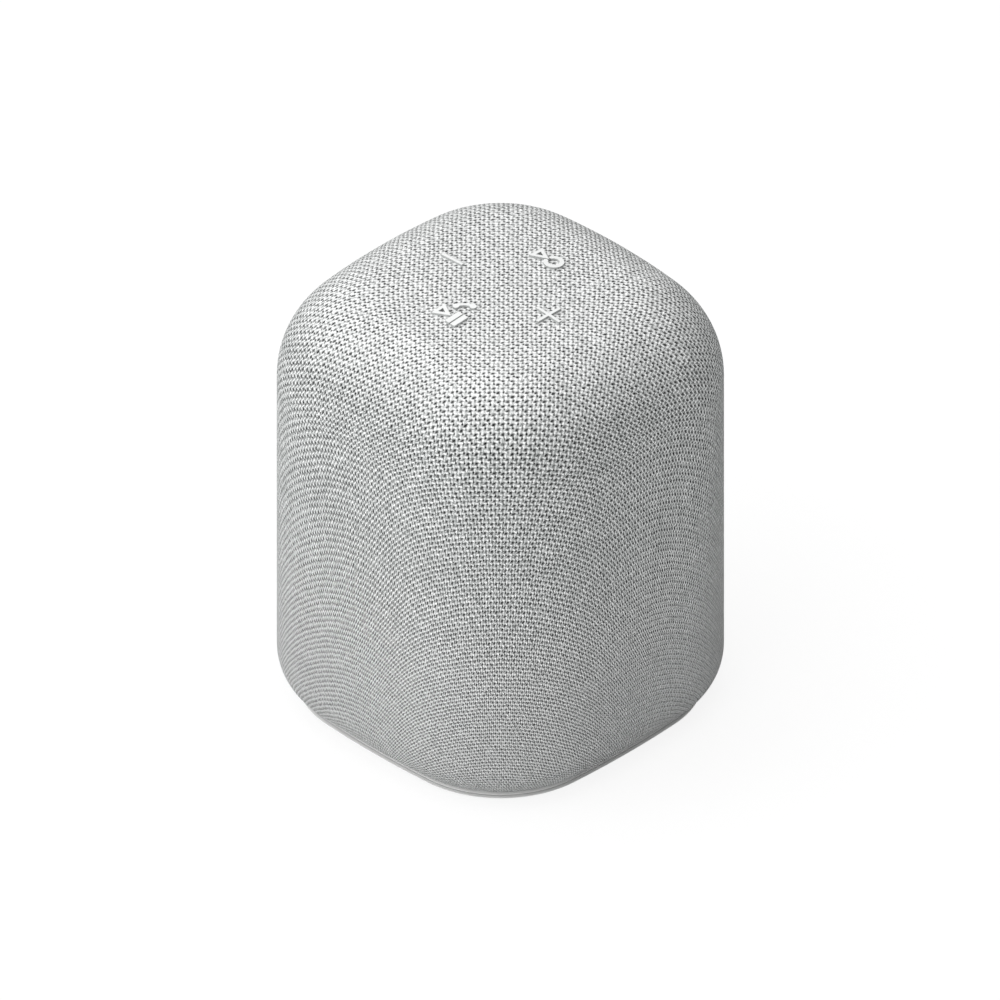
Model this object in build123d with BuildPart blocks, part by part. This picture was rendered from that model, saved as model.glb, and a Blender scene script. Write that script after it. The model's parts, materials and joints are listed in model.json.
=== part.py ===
from build123d import *
import math
import os

# A small cloth-covered smart speaker: a rounded square body with bowed sides, a softly domed top
# with four raised touch symbols, and a thin two-band base. Millimetres, Z up, front at -Y,
# origin on the surface it stands on, in the middle of the plan.

# Outer form
body_width = 90.0
body_height = 110.0
corner_radius = 30.0
side_bow_radius = 255.0
crown_radius = 290.0
top_edge_radius = 23.0
bottom_edge_radius = 11.5
corner_spare = 1.0
body_base_z = 0.35

# Skin and shell
fabric_thickness = 1.0
skin_gap = 0.05
shell_wall = 2.0
tray_rise = 2.5
floor_thickness = 2.0

# Base bands, from the floor upwards
foot_height = 0.7
foot_inset = 7.6
foot_band = 11.4
cover_rim_height = 0.4
cover_inset = 4.85
cover_bevel_width = 0.6
cover_bevel_height = 0.25
hem_ring_height = 0.45
hem_ring_inset = 5.5
hem_bevel_width = 0.8
hem_bevel_height = 0.25
hem_groove = 0.12
hem_ring_lap = 0.5
hem_opening_inset = 9.0

# Fits
part_clearance = 0.3
slot_clearance = 0.15
seat_clearance = 0.05

# Screws that hold the stack together from below
screw_diameter = 2.4
screw_head_diameter = 4.4
screw_head_height = 0.55
screw_grip = 5.0
post_diameter = 6.6
post_setback = 4.5

# Battery
battery_width = 40.0
battery_depth = 44.0
battery_height = 11.0
battery_round = 2.0
battery_edge_round = 1.0
bracket_thickness = 1.2
bracket_band = 14.0
bracket_foot = 4.0

# Acoustic enclosure
enclosure_wall = 2.5
enclosure_round = 6.0
radiator_room = 10.0
rear_room = 18.0
top_room = 18.0
stack_gap = 1.25
gasket_thickness = 0.8
back_thickness = 2.5

# Woofer, radii about its axis and depths from the baffle, outwards positive
woofer_diameter = 40.0
woofer_margin = 3.0
flange_thickness = 1.6
rim_width = 2.6
seat_width = 1.0
seat_height = 0.6
roll_width = 2.2
roll_thickness = 0.35
basket_depth = 12.0
basket_wall = 1.2
basket_neck = 2.0
cone_thickness = 0.5
cone_lip = 1.0
cone_depth = 4.3
coil_radius = 6.6
coil_former = 0.3
coil_winding = 0.4
coil_length = 4.5
coil_overhang = 1.0
coil_gap = 0.3
pole_gap = 0.4
top_plate_radius = 13.0
top_plate_thickness = 2.0
magnet_radius = 14.0
magnet_bore = 8.5
magnet_thickness = 6.0
yoke_thickness = 2.0
dust_cap_radius = 7.0
dust_cap_height = 1.6
spider_depth = 6.3
spider_wave = 0.8
spider_thickness = 0.3
spider_waves = 5

# Tweeter
tweeter_diameter = 16.0
driver_gap = 2.0
tweeter_plate = 1.2
tweeter_bore = 11.6
tweeter_motor_diameter = 13.2
tweeter_recess = 1.0
tweeter_motor_depth = 7.0
tweeter_gap_depth = 5.0
tweeter_dome_diameter = 8.8
tweeter_dome_height = 1.4
tweeter_dome_wall = 0.25
tweeter_coil_length = 4.1
tweeter_coil_gap = 0.4
tweeter_skirt = 0.4

# Passive radiators on the left and right walls
radiator_length = 46.0
radiator_width = 28.0
radiator_rim = 3.5
radiator_frame = 1.6
radiator_roll = 4.0
radiator_plate = 1.4
radiator_block_depth = 3.0
radiator_block_border = 4.5
radiator_roll_round = 1.2

# Circuit boards
board_thickness = 1.6
small_board_thickness = 1.2
standoff_height = 3.0
standoff_diameter = 5.0
peg_diameter = 2.0
main_board_width = 50.0
main_board_gap = 2.0
peg_setback = 4.0
shield_size = 20.0
shield_height = 2.5
shield_round = 0.5
sink_width = 16.0
sink_length = 24.0
sink_base = 1.5
fin_height = 4.0
fin_thickness = 1.0
fin_count = 5
chip_offset = 11.5
antenna_length = 26.0
antenna_width = 6.0
antenna_thickness = 0.8
antenna_offset = 7.0
ribbon_width = 8.0
ribbon_thickness = 0.3
ribbon_setback = 7.0
ribbon_lap = 8.0

# Key deck, control board and microphones
deck_setback = 2.55
deck_round = 8.0
deck_post = 2.0
deck_plate = 2.0
deck_post_diameter = 6.0
deck_post_setback = 6.0
control_board_border = 2.0
microphone_size = 4.0
microphone_height = 1.2
microphone_setback = 5.0

# Top keys and their switches
key_offset = 15.4
key_diameter = 14.0
key_flange = 1.5
key_flange_height = 1.5
key_stem_diameter = 2.0
key_travel = 0.5
switch_size = 4.6
switch_height = 2.0
switch_sink = 1.0
symbol_relief = 0.5
symbol_sink = 0.1

# Raised symbols, plan sizes
stroke = 0.75
minus_length = 6.7
plus_length = 7.3
arrow_height = 4.4
arrow_width = 4.2
arrow_stroke = 0.85
bar_width = 1.4
bar_pitch = 1.75
arrow_left = -4.1
bar_left = 0.3
play_drop = 0.5
handset_radius = 3.3
handset_stroke = 0.8
handset_knob = 1.6
handset_centre = (1.53, 2.06)
handset_start_angle = 93.0
handset_span_angle = 72.5
loop_radius = 1.85
loop_stroke = 1.1
loop_offset = 1.65
loop_opening_angle = 62.0

# Grille slots in the shell
slot_width = 2.4
slot_pitch = 4.6
slot_count = 8
slot_margin = 4.0

# Rear panel with a power socket and two buttons
panel_z = 26.0
panel_width = 36.0
panel_height = 12.0
panel_lip = 2.0
panel_sink = 0.3
panel_back = 1.2
port_depth = 9.5
port_board_width = 38.0
port_board_height = 12.0
port_post_spread = 33.0
port_post_diameter = 3.0
button_diameter = 6.6
button_spread = 21.0
button_proud = 0.4
button_flange = 1.0
button_flange_height = 0.8
button_travel = 0.4
socket_width = 9.6
socket_height = 3.9
socket_wall = 0.35
socket_recess = 0.4
tongue_width = 6.7
tongue_thickness = 0.7
tongue_setback = 1.0

# Levels and places worked out from the sizes above
fabric_edge_z = foot_height + cover_rim_height + hem_ring_height
floor_top_z = fabric_edge_z + floor_thickness
split_z = body_base_z + bottom_edge_radius + tray_rise
shell_inset = fabric_thickness + skin_gap
inner_inset = shell_inset + shell_wall
inner_half = body_width / 2 - inner_inset
top_round = min(top_edge_radius, corner_radius - corner_spare)

enclosure_half = inner_half - radiator_room
baffle_y = -enclosure_half
back_face_y = inner_half - rear_room
box_back_y = back_face_y - back_thickness - gasket_thickness
box_depth = box_back_y - baffle_y
box_mid_y = (box_back_y + baffle_y) / 2
enclosure_bottom_z = floor_top_z + battery_height + bracket_thickness + stack_gap
enclosure_top_z = body_height - top_room
enclosure_height = enclosure_top_z - enclosure_bottom_z
enclosure_mid_z = (enclosure_top_z + enclosure_bottom_z) / 2
post_points = [
    (side * (enclosure_half - post_setback), y)
    for side in (-1, 1)
    for y in (baffle_y + post_setback, box_back_y - post_setback)
]
screw_bore = screw_diameter + 2 * seat_clearance
hem_ring_z = foot_height + cover_rim_height
hem_ring_inner = hem_opening_inset + hem_ring_lap

woofer_z = enclosure_bottom_z + woofer_margin + woofer_diameter / 2
tweeter_z = woofer_z + woofer_diameter / 2 + driver_gap + tweeter_diameter / 2

deck_bottom_z = enclosure_top_z + deck_post
deck_top_z = deck_bottom_z + deck_plate
control_top_z = deck_top_z + small_board_thickness
switch_top_z = control_top_z + switch_height
main_board_y = back_face_y + standoff_height
main_board_bottom_z = panel_z + panel_height / 2 + panel_lip + slot_margin
main_board_top_z = enclosure_top_z - main_board_gap
main_board_face_y = main_board_y + board_thickness
deck_half = main_board_face_y - deck_setback
control_half = deck_half - control_board_border
microphone_reach = control_half - microphone_setback
ribbon_x = control_half - ribbon_setback


# The body's plan outline and its parallel forms

def corner_centre():
    """Distance of each corner arc's centre from the two plan axes."""
    side = side_bow_radius - body_width / 2
    reach = side_bow_radius - corner_radius
    return (math.sqrt(2 * reach**2 - side**2) - side) / 2


def body_outline(inset):
    """Draw the rounded square with bowed sides, moved in by inset, in the open sketch."""
    centre = corner_centre()
    lean = math.asin(centre / (side_bow_radius - corner_radius))
    side_radius = side_bow_radius - inset
    half = body_width / 2 - inset
    end_x = side_radius * math.sin(lean)
    end_y = body_width / 2 - side_bow_radius + side_radius * math.cos(lean)
    middle = centre + (corner_radius - inset) / math.sqrt(2)
    with BuildLine() as outline:
        for quarter in range(4):
            points = [(-end_x, end_y), (0, half), (end_x, end_y), (middle, middle), (end_y, end_x)]
            turned = [Vector(x, y).rotate(Axis.Z, -90 * quarter) for x, y in points]
            ThreePointArc(*turned[:3])
            ThreePointArc(*turned[2:])
    make_face(outline.edges())


def body_form(inset):
    """The whole outer body as one solid, moved in by inset on every face."""
    with BuildPart() as form:
        with BuildSketch(Plane.XY.offset(body_base_z + inset)):
            body_outline(inset)
        extrude(amount=body_height)
        with Locations((0, 0, body_height - crown_radius)):
            Sphere(crown_radius - inset, mode=Mode.INTERSECT)
        fillet(form.faces().sort_by(Axis.Z)[-1].edges(), top_round - inset)
        fillet(form.faces().sort_by(Axis.Z)[0].edges(), bottom_edge_radius - inset)
    return form.part


def top_height(reach, inset):
    """Height of the top, moved in by inset, at a distance from the axis towards a side."""
    dome_base = body_height - crown_radius
    round_reach = body_width / 2 - top_round
    round_base = dome_base + math.sqrt((crown_radius - top_round) ** 2 - round_reach**2)
    if reach <= round_reach * (crown_radius - inset) / (crown_radius - top_round):
        return dome_base + math.sqrt((crown_radius - inset) ** 2 - reach**2)
    return round_base + math.sqrt((top_round - inset) ** 2 - (reach - round_reach) ** 2)


def side_depth(reach, inset):
    """Distance of a bowed side, moved in by inset, from the middle plane, at a reach along it."""
    side_base = body_width / 2 - side_bow_radius
    return side_base + math.sqrt((side_bow_radius - inset) ** 2 - reach**2)


def dome_level(radius, height, reach):
    """Height of a shallow dome of a given edge radius and rise, at a distance from its axis."""
    ball = (radius**2 + height**2) / (2 * height)
    return height - ball + math.sqrt(ball**2 - reach**2)


def front_plane(y):
    return Plane(origin=(0, y, 0), x_dir=(1, 0, 0), z_dir=(0, -1, 0))


def rear_plane(y):
    return Plane(origin=(0, y, 0), x_dir=(-1, 0, 0), z_dir=(0, 1, 0))


def flank_plane(side, x):
    return Plane(origin=(side * x, 0, 0), x_dir=(0, side, 0), z_dir=(side, 0, 0))


def keep(builder, name):
    """Label a finished piece and write it."""
    builder.part.label = name
    export_step(builder.part, f"parts/{name}.step")


os.makedirs("parts", exist_ok=True)
fabric_outer = body_form(0)
fabric_inner = body_form(fabric_thickness)
shell_outer = body_form(shell_inset)
shell_inner = body_form(inner_inset)


# Raised symbols, each drawn about its key's middle in the open sketch

def arrow(left, grow):
    """A triangle that points to +X, with its sides moved out by grow."""
    leg = math.hypot(arrow_width, arrow_height / 2)
    inner = arrow_height * arrow_width / (arrow_height + 2 * leg)
    share = (inner + grow) / inner
    corners = [(left, arrow_height / 2), (left, -arrow_height / 2), (left + arrow_width, 0)]
    middle = left + inner
    return [(middle + share * (x - middle), share * y) for x, y in corners]


def draw_minus(grow, filled):
    Rectangle(minus_length + 2 * grow, stroke + 2 * grow)


def draw_plus(grow, filled):
    Rectangle(plus_length + 2 * grow, stroke + 2 * grow)
    Rectangle(stroke + 2 * grow, plus_length + 2 * grow)


def draw_arrow(left, drop, grow, filled):
    with Locations((0, drop)):
        Polygon(*arrow(left, grow))
        if not filled:
            Polygon(*arrow(left, -arrow_stroke), mode=Mode.SUBTRACT)


def draw_play(grow, filled):
    draw_arrow(arrow_left, -play_drop, grow, filled)
    bars = [bar_left + bar_width / 2 + step * bar_pitch for step in (0, 1)]
    if filled:
        with Locations((sum(bars) / 2, -play_drop)):
            Rectangle(bar_pitch + bar_width + 2 * grow, arrow_height + 2 * grow)
    else:
        with Locations(*[(x, -play_drop) for x in bars]):
            Rectangle(bar_width, arrow_height)
    SlotArc(handset_arc, handset_stroke + 2 * grow)
    with Locations(handset_arc @ 0, handset_arc @ 1):
        Circle(handset_knob / 2 + grow)


def draw_loop(grow, filled):
    draw_arrow(arrow_left, 0, grow, filled)
    if filled:
        with Locations((loop_offset, 0)):
            Circle(loop_radius + loop_stroke / 2 + grow)
    else:
        SlotArc(loop_arc, loop_stroke)


handset_arc = CenterArc(handset_centre, handset_radius, handset_start_angle, handset_span_angle)
loop_arc = CenterArc((loop_offset, 0), loop_radius, loop_opening_angle / 2 - 180, 360 - loop_opening_angle)
keys = {
    "key_volume_down": ((-key_offset, 0), draw_minus),
    "key_volume_up": ((key_offset, 0), draw_plus),
    "key_play_call": ((0, -key_offset), draw_play),
    "key_link": ((0, key_offset), draw_loop),
}
key_reach = key_offset + key_diameter / 2
key_cap_z = top_height(key_reach, fabric_thickness) - part_clearance
key_flange_z = top_height(key_reach + key_flange, inner_inset) - part_clearance
key_rest_z = key_flange_z - key_flange_height


# Fabric cover: one stretched skin, open underneath, with slots where the symbols stand through
with BuildPart() as fabric_cover:
    add(fabric_outer)
    add(fabric_inner, mode=Mode.SUBTRACT)
    split(bisect_by=Plane.XY.offset(fabric_edge_z), keep=Keep.TOP)
    with BuildSketch(Plane.XY):
        body_outline(hem_opening_inset)
    extrude(amount=split_z, mode=Mode.SUBTRACT)
    for (key_x, key_y), draw in keys.values():
        with BuildSketch(Plane((key_x, key_y, key_cap_z))):
            draw(slot_clearance, True)
        extrude(amount=body_height, mode=Mode.SUBTRACT)
    with BuildSketch(rear_plane(0)):
        with Locations((0, panel_z)):
            SlotOverall(panel_width + 2 * slot_clearance, panel_height + 2 * slot_clearance)
    extrude(amount=body_width, mode=Mode.SUBTRACT)
keep(fabric_cover, "fabric_cover")


# Grille shell: the stiff dome and walls under the skin, slotted on all four sides
slot_top_z = body_height - top_round - slot_margin
front_slot_z = enclosure_bottom_z + slot_margin
slot_sides = [
    (front_plane(0), front_slot_z),
    (flank_plane(1, 0), front_slot_z),
    (flank_plane(-1, 0), front_slot_z),
    (rear_plane(0), panel_z + panel_height / 2 + panel_lip + slot_margin),
]
with BuildPart() as grille_shell:
    add(shell_outer)
    add(shell_inner, mode=Mode.SUBTRACT)
    split(bisect_by=Plane.XY.offset(split_z), keep=Keep.TOP)
    with BuildSketch(Plane.XY.offset(key_rest_z)):
        with Locations(*[place for place, draw in keys.values()]):
            Circle(key_diameter / 2 + part_clearance)
    extrude(amount=body_height, mode=Mode.SUBTRACT)
    for side_plane, slot_bottom_z in slot_sides:
        with BuildSketch(side_plane):
            with Locations((0, (slot_top_z + slot_bottom_z) / 2)):
                with GridLocations(slot_pitch, slot_pitch, slot_count, 1):
                    SlotOverall(slot_top_z - slot_bottom_z, slot_width, rotation=90)
        extrude(amount=body_width, mode=Mode.SUBTRACT)
    with BuildSketch(rear_plane(0)):
        with Locations((0, panel_z)):
            SlotOverall(panel_width + 2 * slot_clearance, panel_height + 2 * slot_clearance)
    extrude(amount=body_width, mode=Mode.SUBTRACT)
keep(grille_shell, "grille_shell")


# Base tray: the rounded dish under the shell, with four posts that carry the enclosure
with BuildPart() as tray_cavity:
    add(shell_inner)
    split(bisect_by=Plane.XY.offset(floor_top_z), keep=Keep.TOP)

with BuildPart() as base_tray:
    add(shell_outer)
    split(bisect_by=Plane.XY.offset(split_z), keep=Keep.BOTTOM)
    split(bisect_by=Plane.XY.offset(fabric_edge_z), keep=Keep.TOP)
    add(tray_cavity.part, mode=Mode.SUBTRACT)
    with BuildSketch(Plane.XY.offset(floor_top_z)):
        with Locations(*post_points):
            Circle(post_diameter / 2)
    extrude(amount=enclosure_bottom_z - floor_top_z)
    with BuildSketch(Plane.XY):
        with Locations(*post_points):
            Circle(screw_bore / 2)
    extrude(amount=enclosure_bottom_z, mode=Mode.SUBTRACT)
keep(base_tray, "base_tray")


# Hem ring: the upper band of the base, which clamps the lower edge of the cloth
with BuildPart() as hem_ring:
    with BuildSketch(Plane.XY.offset(hem_ring_z)):
        body_outline(hem_ring_inset)
    extrude(amount=hem_ring_height)
    upper = hem_ring.faces().sort_by(Axis.Z)[-1]
    chamfer(upper.edges(), hem_bevel_width, hem_bevel_height, reference=upper)
    chamfer(hem_ring.faces().sort_by(Axis.Z)[0].edges(), hem_groove)
    with BuildSketch(Plane.XY.offset(hem_ring_z)):
        body_outline(hem_ring_inner)
        with Locations(*post_points):
            Circle(screw_bore / 2)
    extrude(amount=hem_ring_height, mode=Mode.SUBTRACT)
keep(hem_ring, "hem_ring")


# Bottom cover: the lower band and the plate inside the hem ring
with BuildPart() as bottom_cover:
    with BuildSketch(Plane.XY.offset(foot_height)):
        body_outline(cover_inset)
    extrude(amount=cover_rim_height)
    upper = bottom_cover.faces().sort_by(Axis.Z)[-1]
    chamfer(upper.edges(), cover_bevel_width, cover_bevel_height, reference=upper)
    with BuildSketch(Plane.XY.offset(hem_ring_z)):
        body_outline(hem_ring_inner + part_clearance)
    extrude(amount=hem_ring_height)
    with BuildSketch(Plane.XY):
        with Locations(*post_points):
            Circle(screw_bore / 2)
    extrude(amount=fabric_edge_z, mode=Mode.SUBTRACT)
keep(bottom_cover, "bottom_cover")


# Foot: a soft ring with wells for the screw heads
with BuildPart() as foot_pad:
    with BuildSketch(Plane.XY):
        body_outline(foot_inset)
    extrude(amount=foot_height)
    with BuildSketch(Plane.XY):
        body_outline(foot_inset + foot_band)
        with Locations(*post_points):
            Circle(screw_head_diameter / 2 + part_clearance)
    extrude(amount=foot_height, mode=Mode.SUBTRACT)
keep(foot_pad, "foot_pad")


# Long screws through the cover, the tray's posts and the enclosure's floor
screw_top_z = enclosure_bottom_z + screw_grip
for number, place in enumerate(post_points, 1):
    with BuildPart() as base_screw:
        with BuildSketch(Plane((*place, foot_height - screw_head_height))):
            Circle(screw_head_diameter / 2)
        extrude(amount=screw_head_height)
        with BuildSketch(Plane((*place, foot_height))):
            Circle(screw_diameter / 2)
        extrude(amount=screw_top_z - foot_height)
    keep(base_screw, f"base_screw_{number}")


# Battery pack on the tray's floor, and the strap over it
with BuildPart() as battery_pack:
    with BuildSketch(Plane((0, box_mid_y, floor_top_z))):
        RectangleRounded(battery_width, battery_depth, battery_round)
    extrude(amount=battery_height)
    fillet(battery_pack.edges().group_by(Axis.Z)[-1], battery_edge_round)
keep(battery_pack, "battery_pack")

bracket_in = battery_width / 2 + part_clearance
bracket_out = bracket_in + bracket_thickness
with BuildPart() as battery_bracket:
    with BuildSketch(front_plane(box_mid_y + bracket_band / 2)):
        with Locations((0, floor_top_z)):
            Rectangle(2 * bracket_out, battery_height + bracket_thickness, align=(Align.CENTER, Align.MIN))
            Rectangle(2 * bracket_in, battery_height, align=(Align.CENTER, Align.MIN), mode=Mode.SUBTRACT)
            for side in (-1, 1):
                with Locations((side * (bracket_out + bracket_foot / 2), bracket_thickness / 2)):
                    Rectangle(bracket_foot, bracket_thickness)
    extrude(amount=bracket_band)
keep(battery_bracket, "battery_bracket")


# Acoustic enclosure: a box open at the back, its gasket and its rear wall
with BuildPart() as enclosure_box:
    with BuildSketch(Plane((0, box_mid_y, enclosure_bottom_z))) as box_plan:
        Rectangle(2 * enclosure_half, box_depth)
        fillet(box_plan.vertices().group_by(Axis.Y)[0], enclosure_round)
    extrude(amount=enclosure_height)
    with BuildSketch(front_plane(box_back_y)):
        with Locations((0, enclosure_mid_z)):
            Rectangle(2 * (enclosure_half - enclosure_wall), enclosure_height - 2 * enclosure_wall)
    extrude(amount=box_depth - enclosure_wall, mode=Mode.SUBTRACT)
    with BuildSketch(Plane.XY.offset(enclosure_bottom_z)):
        with Locations(*post_points):
            Circle(post_diameter / 2)
    extrude(amount=screw_grip + enclosure_wall)
    with BuildSketch(Plane.XY.offset(enclosure_bottom_z)):
        with Locations(*post_points):
            Circle(screw_bore / 2)
    extrude(amount=screw_grip + seat_clearance, mode=Mode.SUBTRACT)
    with BuildSketch(front_plane(baffle_y)):
        with Locations((0, woofer_z)):
            Circle(woofer_diameter / 2 - rim_width + 2 * part_clearance)
        with Locations((0, tweeter_z)):
            Circle(tweeter_motor_diameter / 2 + part_clearance)
    extrude(amount=-enclosure_wall, mode=Mode.SUBTRACT)
    for side in (-1, 1):
        with BuildSketch(flank_plane(side, enclosure_half)):
            with Locations((side * box_mid_y, enclosure_mid_z)):
                SlotOverall(
                    radiator_length - 2 * radiator_rim, radiator_width - 2 * radiator_rim, rotation=90
                )
        extrude(amount=-enclosure_wall, mode=Mode.SUBTRACT)
keep(enclosure_box, "enclosure_box")

with BuildPart() as enclosure_gasket:
    with BuildSketch(rear_plane(box_back_y)):
        with Locations((0, enclosure_mid_z)):
            Rectangle(2 * enclosure_half, enclosure_height)
            Rectangle(
                2 * (enclosure_half - enclosure_wall),
                enclosure_height - 2 * enclosure_wall,
                mode=Mode.SUBTRACT,
            )
    extrude(amount=gasket_thickness)
keep(enclosure_gasket, "enclosure_gasket")

peg_points = [
    (side * (main_board_width / 2 - peg_setback), z)
    for side in (-1, 1)
    for z in (main_board_bottom_z + peg_setback, main_board_top_z - peg_setback)
]
with BuildPart() as enclosure_back:
    with BuildSketch(rear_plane(box_back_y + gasket_thickness)):
        with Locations((0, enclosure_mid_z)):
            Rectangle(2 * enclosure_half, enclosure_height)
    extrude(amount=back_thickness)
    with BuildSketch(rear_plane(back_face_y)):
        with Locations(*peg_points):
            Circle(standoff_diameter / 2)
    extrude(amount=standoff_height)
    with BuildSketch(rear_plane(main_board_y)):
        with Locations(*peg_points):
            Circle(peg_diameter / 2)
    extrude(amount=board_thickness)
keep(enclosure_back, "enclosure_back")


# Woofer: turned pieces about an axis that looks out of the front
woofer_profile = Plane((0, baffle_y, woofer_z), x_dir=(1, 0, 0), z_dir=(0, 0, -1))
woofer_axis = Axis((0, baffle_y, woofer_z), (0, -1, 0))
frame_radius = woofer_diameter / 2
rim_radius = frame_radius - rim_width
seat_radius = rim_radius - seat_width
cone_radius = seat_radius - roll_width
neck_radius = coil_radius + seat_clearance
throat_radius = coil_radius + coil_winding + 2 * coil_gap
basket_back = -basket_depth + basket_wall
pole_radius = coil_radius - coil_former - pole_gap
plate_back = -basket_depth - top_plate_thickness
magnet_back = plate_back - magnet_thickness
coil_back = plate_back - coil_overhang

with BuildPart() as woofer_frame:
    with BuildSketch(woofer_profile):
        with BuildLine():
            Polyline(
                (frame_radius, 0),
                (frame_radius, flange_thickness),
                (rim_radius, flange_thickness),
                (rim_radius, seat_height),
                (seat_radius, seat_height),
                (seat_radius, -basket_neck),
                (top_plate_radius - basket_wall, basket_back),
                (throat_radius, basket_back),
                (throat_radius, -basket_depth),
                (top_plate_radius, -basket_depth),
                (rim_radius, -basket_neck),
                (rim_radius, 0),
                close=True,
            )
        make_face()
    revolve(axis=woofer_axis)
keep(woofer_frame, "woofer_frame")

with BuildPart() as woofer_top_plate:
    with BuildSketch(front_plane(baffle_y + basket_depth)):
        with Locations((0, woofer_z)):
            Circle(top_plate_radius)
            Circle(coil_radius + coil_winding + coil_gap, mode=Mode.SUBTRACT)
    extrude(amount=-top_plate_thickness)
keep(woofer_top_plate, "woofer_top_plate")

with BuildPart() as woofer_magnet:
    with BuildSketch(front_plane(baffle_y - plate_back)):
        with Locations((0, woofer_z)):
            Circle(magnet_radius)
            Circle(magnet_bore, mode=Mode.SUBTRACT)
    extrude(amount=-magnet_thickness)
keep(woofer_magnet, "woofer_magnet")

with BuildPart() as woofer_yoke:
    with BuildSketch(front_plane(baffle_y - magnet_back)):
        with Locations((0, woofer_z)):
            Circle(top_plate_radius)
    extrude(amount=-yoke_thickness)
    with BuildSketch(front_plane(baffle_y - magnet_back)):
        with Locations((0, woofer_z)):
            Circle(pole_radius)
    extrude(amount=-basket_depth - magnet_back)
keep(woofer_yoke, "woofer_yoke")

with BuildPart() as woofer_cone:
    with BuildSketch(woofer_profile):
        with BuildLine():
            Polyline(
                (neck_radius, seat_height - cone_depth - cone_thickness),
                (neck_radius, seat_height - cone_depth),
                (cone_radius - cone_lip, seat_height),
                (cone_radius, seat_height),
                (cone_radius, seat_height - cone_thickness),
                (cone_radius - cone_lip, seat_height - cone_thickness),
                close=True,
            )
        make_face()
    revolve(axis=woofer_axis)
keep(woofer_cone, "woofer_cone")

cone_slope = cone_depth / (cone_radius - cone_lip - neck_radius)
cap_edge = seat_height - cone_depth + (dust_cap_radius - neck_radius) * cone_slope + seat_clearance
cap_top = cap_edge + dust_cap_height
cap_inner = dust_cap_radius - cone_thickness
cap_hollow = dust_cap_height - cone_thickness
cap_waist = cap_edge + dome_level(dust_cap_radius, dust_cap_height, dust_cap_radius / 2)
cap_inner_waist = cap_edge + dome_level(cap_inner, cap_hollow, cap_inner / 2)
with BuildPart() as woofer_dust_cap:
    with BuildSketch(woofer_profile):
        with BuildLine():
            ThreePointArc(
                (dust_cap_radius, cap_edge),
                (dust_cap_radius / 2, cap_waist),
                (0, cap_top),
            )
            Line((0, cap_top), (0, cap_top - cone_thickness))
            ThreePointArc(
                (0, cap_top - cone_thickness),
                (cap_inner / 2, cap_inner_waist),
                (cap_inner, cap_edge),
            )
            Line((cap_inner, cap_edge), (dust_cap_radius, cap_edge))
        make_face()
    revolve(axis=woofer_axis)
keep(woofer_dust_cap, "woofer_dust_cap")

with BuildPart() as woofer_voice_coil:
    with BuildSketch(woofer_profile):
        with BuildLine():
            Polyline(
                (coil_radius - coil_former, coil_back),
                (coil_radius - coil_former, seat_height - cone_depth),
                (coil_radius, seat_height - cone_depth),
                (coil_radius, coil_back + coil_length),
                (coil_radius + coil_winding, coil_back + coil_length),
                (coil_radius + coil_winding, coil_back),
                close=True,
            )
        make_face()
    revolve(axis=woofer_axis)
keep(woofer_voice_coil, "woofer_voice_coil")

roll_base = seat_height + seat_clearance
roll_middle = (cone_radius + seat_radius) / 2
roll_inner = (seat_radius - cone_radius) / 2 - seat_clearance
roll_outer = roll_inner + roll_thickness
roll_foot = math.sqrt(roll_outer**2 - roll_thickness**2)
roll_lip_in = cone_radius - cone_lip
roll_lip_out = rim_radius - 2 * seat_clearance
with BuildPart() as woofer_surround:
    with BuildSketch(woofer_profile):
        with BuildLine():
            Line((roll_lip_in, roll_base), (roll_middle - roll_inner, roll_base))
            ThreePointArc(
                (roll_middle - roll_inner, roll_base),
                (roll_middle, roll_base + roll_inner),
                (roll_middle + roll_inner, roll_base),
            )
            Polyline(
                (roll_middle + roll_inner, roll_base),
                (roll_lip_out, roll_base),
                (roll_lip_out, roll_base + roll_thickness),
                (roll_middle + roll_foot, roll_base + roll_thickness),
            )
            ThreePointArc(
                (roll_middle + roll_foot, roll_base + roll_thickness),
                (roll_middle, roll_base + roll_outer),
                (roll_middle - roll_foot, roll_base + roll_thickness),
            )
            Polyline(
                (roll_middle - roll_foot, roll_base + roll_thickness),
                (roll_lip_in, roll_base + roll_thickness),
                (roll_lip_in, roll_base),
            )
        make_face()
    revolve(axis=woofer_axis)
keep(woofer_surround, "woofer_surround")

basket_slope = (seat_radius - top_plate_radius + basket_wall) / (-basket_neck - basket_back)
spider_low = -spider_depth - spider_thickness
spider_out = seat_radius + (spider_low + basket_neck) * basket_slope - part_clearance
spider_step = (spider_out - neck_radius) / (2 * spider_waves)
spider_upper = [
    (neck_radius + step * spider_step, -spider_depth + spider_wave * (step % 2))
    for step in range(2 * spider_waves + 1)
]
spider_under = [(radius, height - spider_thickness) for radius, height in reversed(spider_upper)]
with BuildPart() as woofer_spider:
    with BuildSketch(woofer_profile):
        with BuildLine():
            Polyline(*spider_upper, *spider_under, close=True)
        make_face()
    revolve(axis=woofer_axis)
keep(woofer_spider, "woofer_spider")


# Tweeter: a ring, a magnet cup with its gap, a dome with its coil, and a soft edge
tweeter_profile = Plane((0, baffle_y, tweeter_z), x_dir=(1, 0, 0), z_dir=(0, 0, -1))
tweeter_axis = Axis((0, baffle_y, tweeter_z), (0, -1, 0))
motor_radius = tweeter_motor_diameter / 2
motor_back = -tweeter_recess - tweeter_motor_depth
gap_back = -tweeter_recess - tweeter_gap_depth
dome_radius = tweeter_dome_diameter / 2
dome_inner = dome_radius - tweeter_dome_wall
coil_bottom = -tweeter_skirt - tweeter_coil_length

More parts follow.
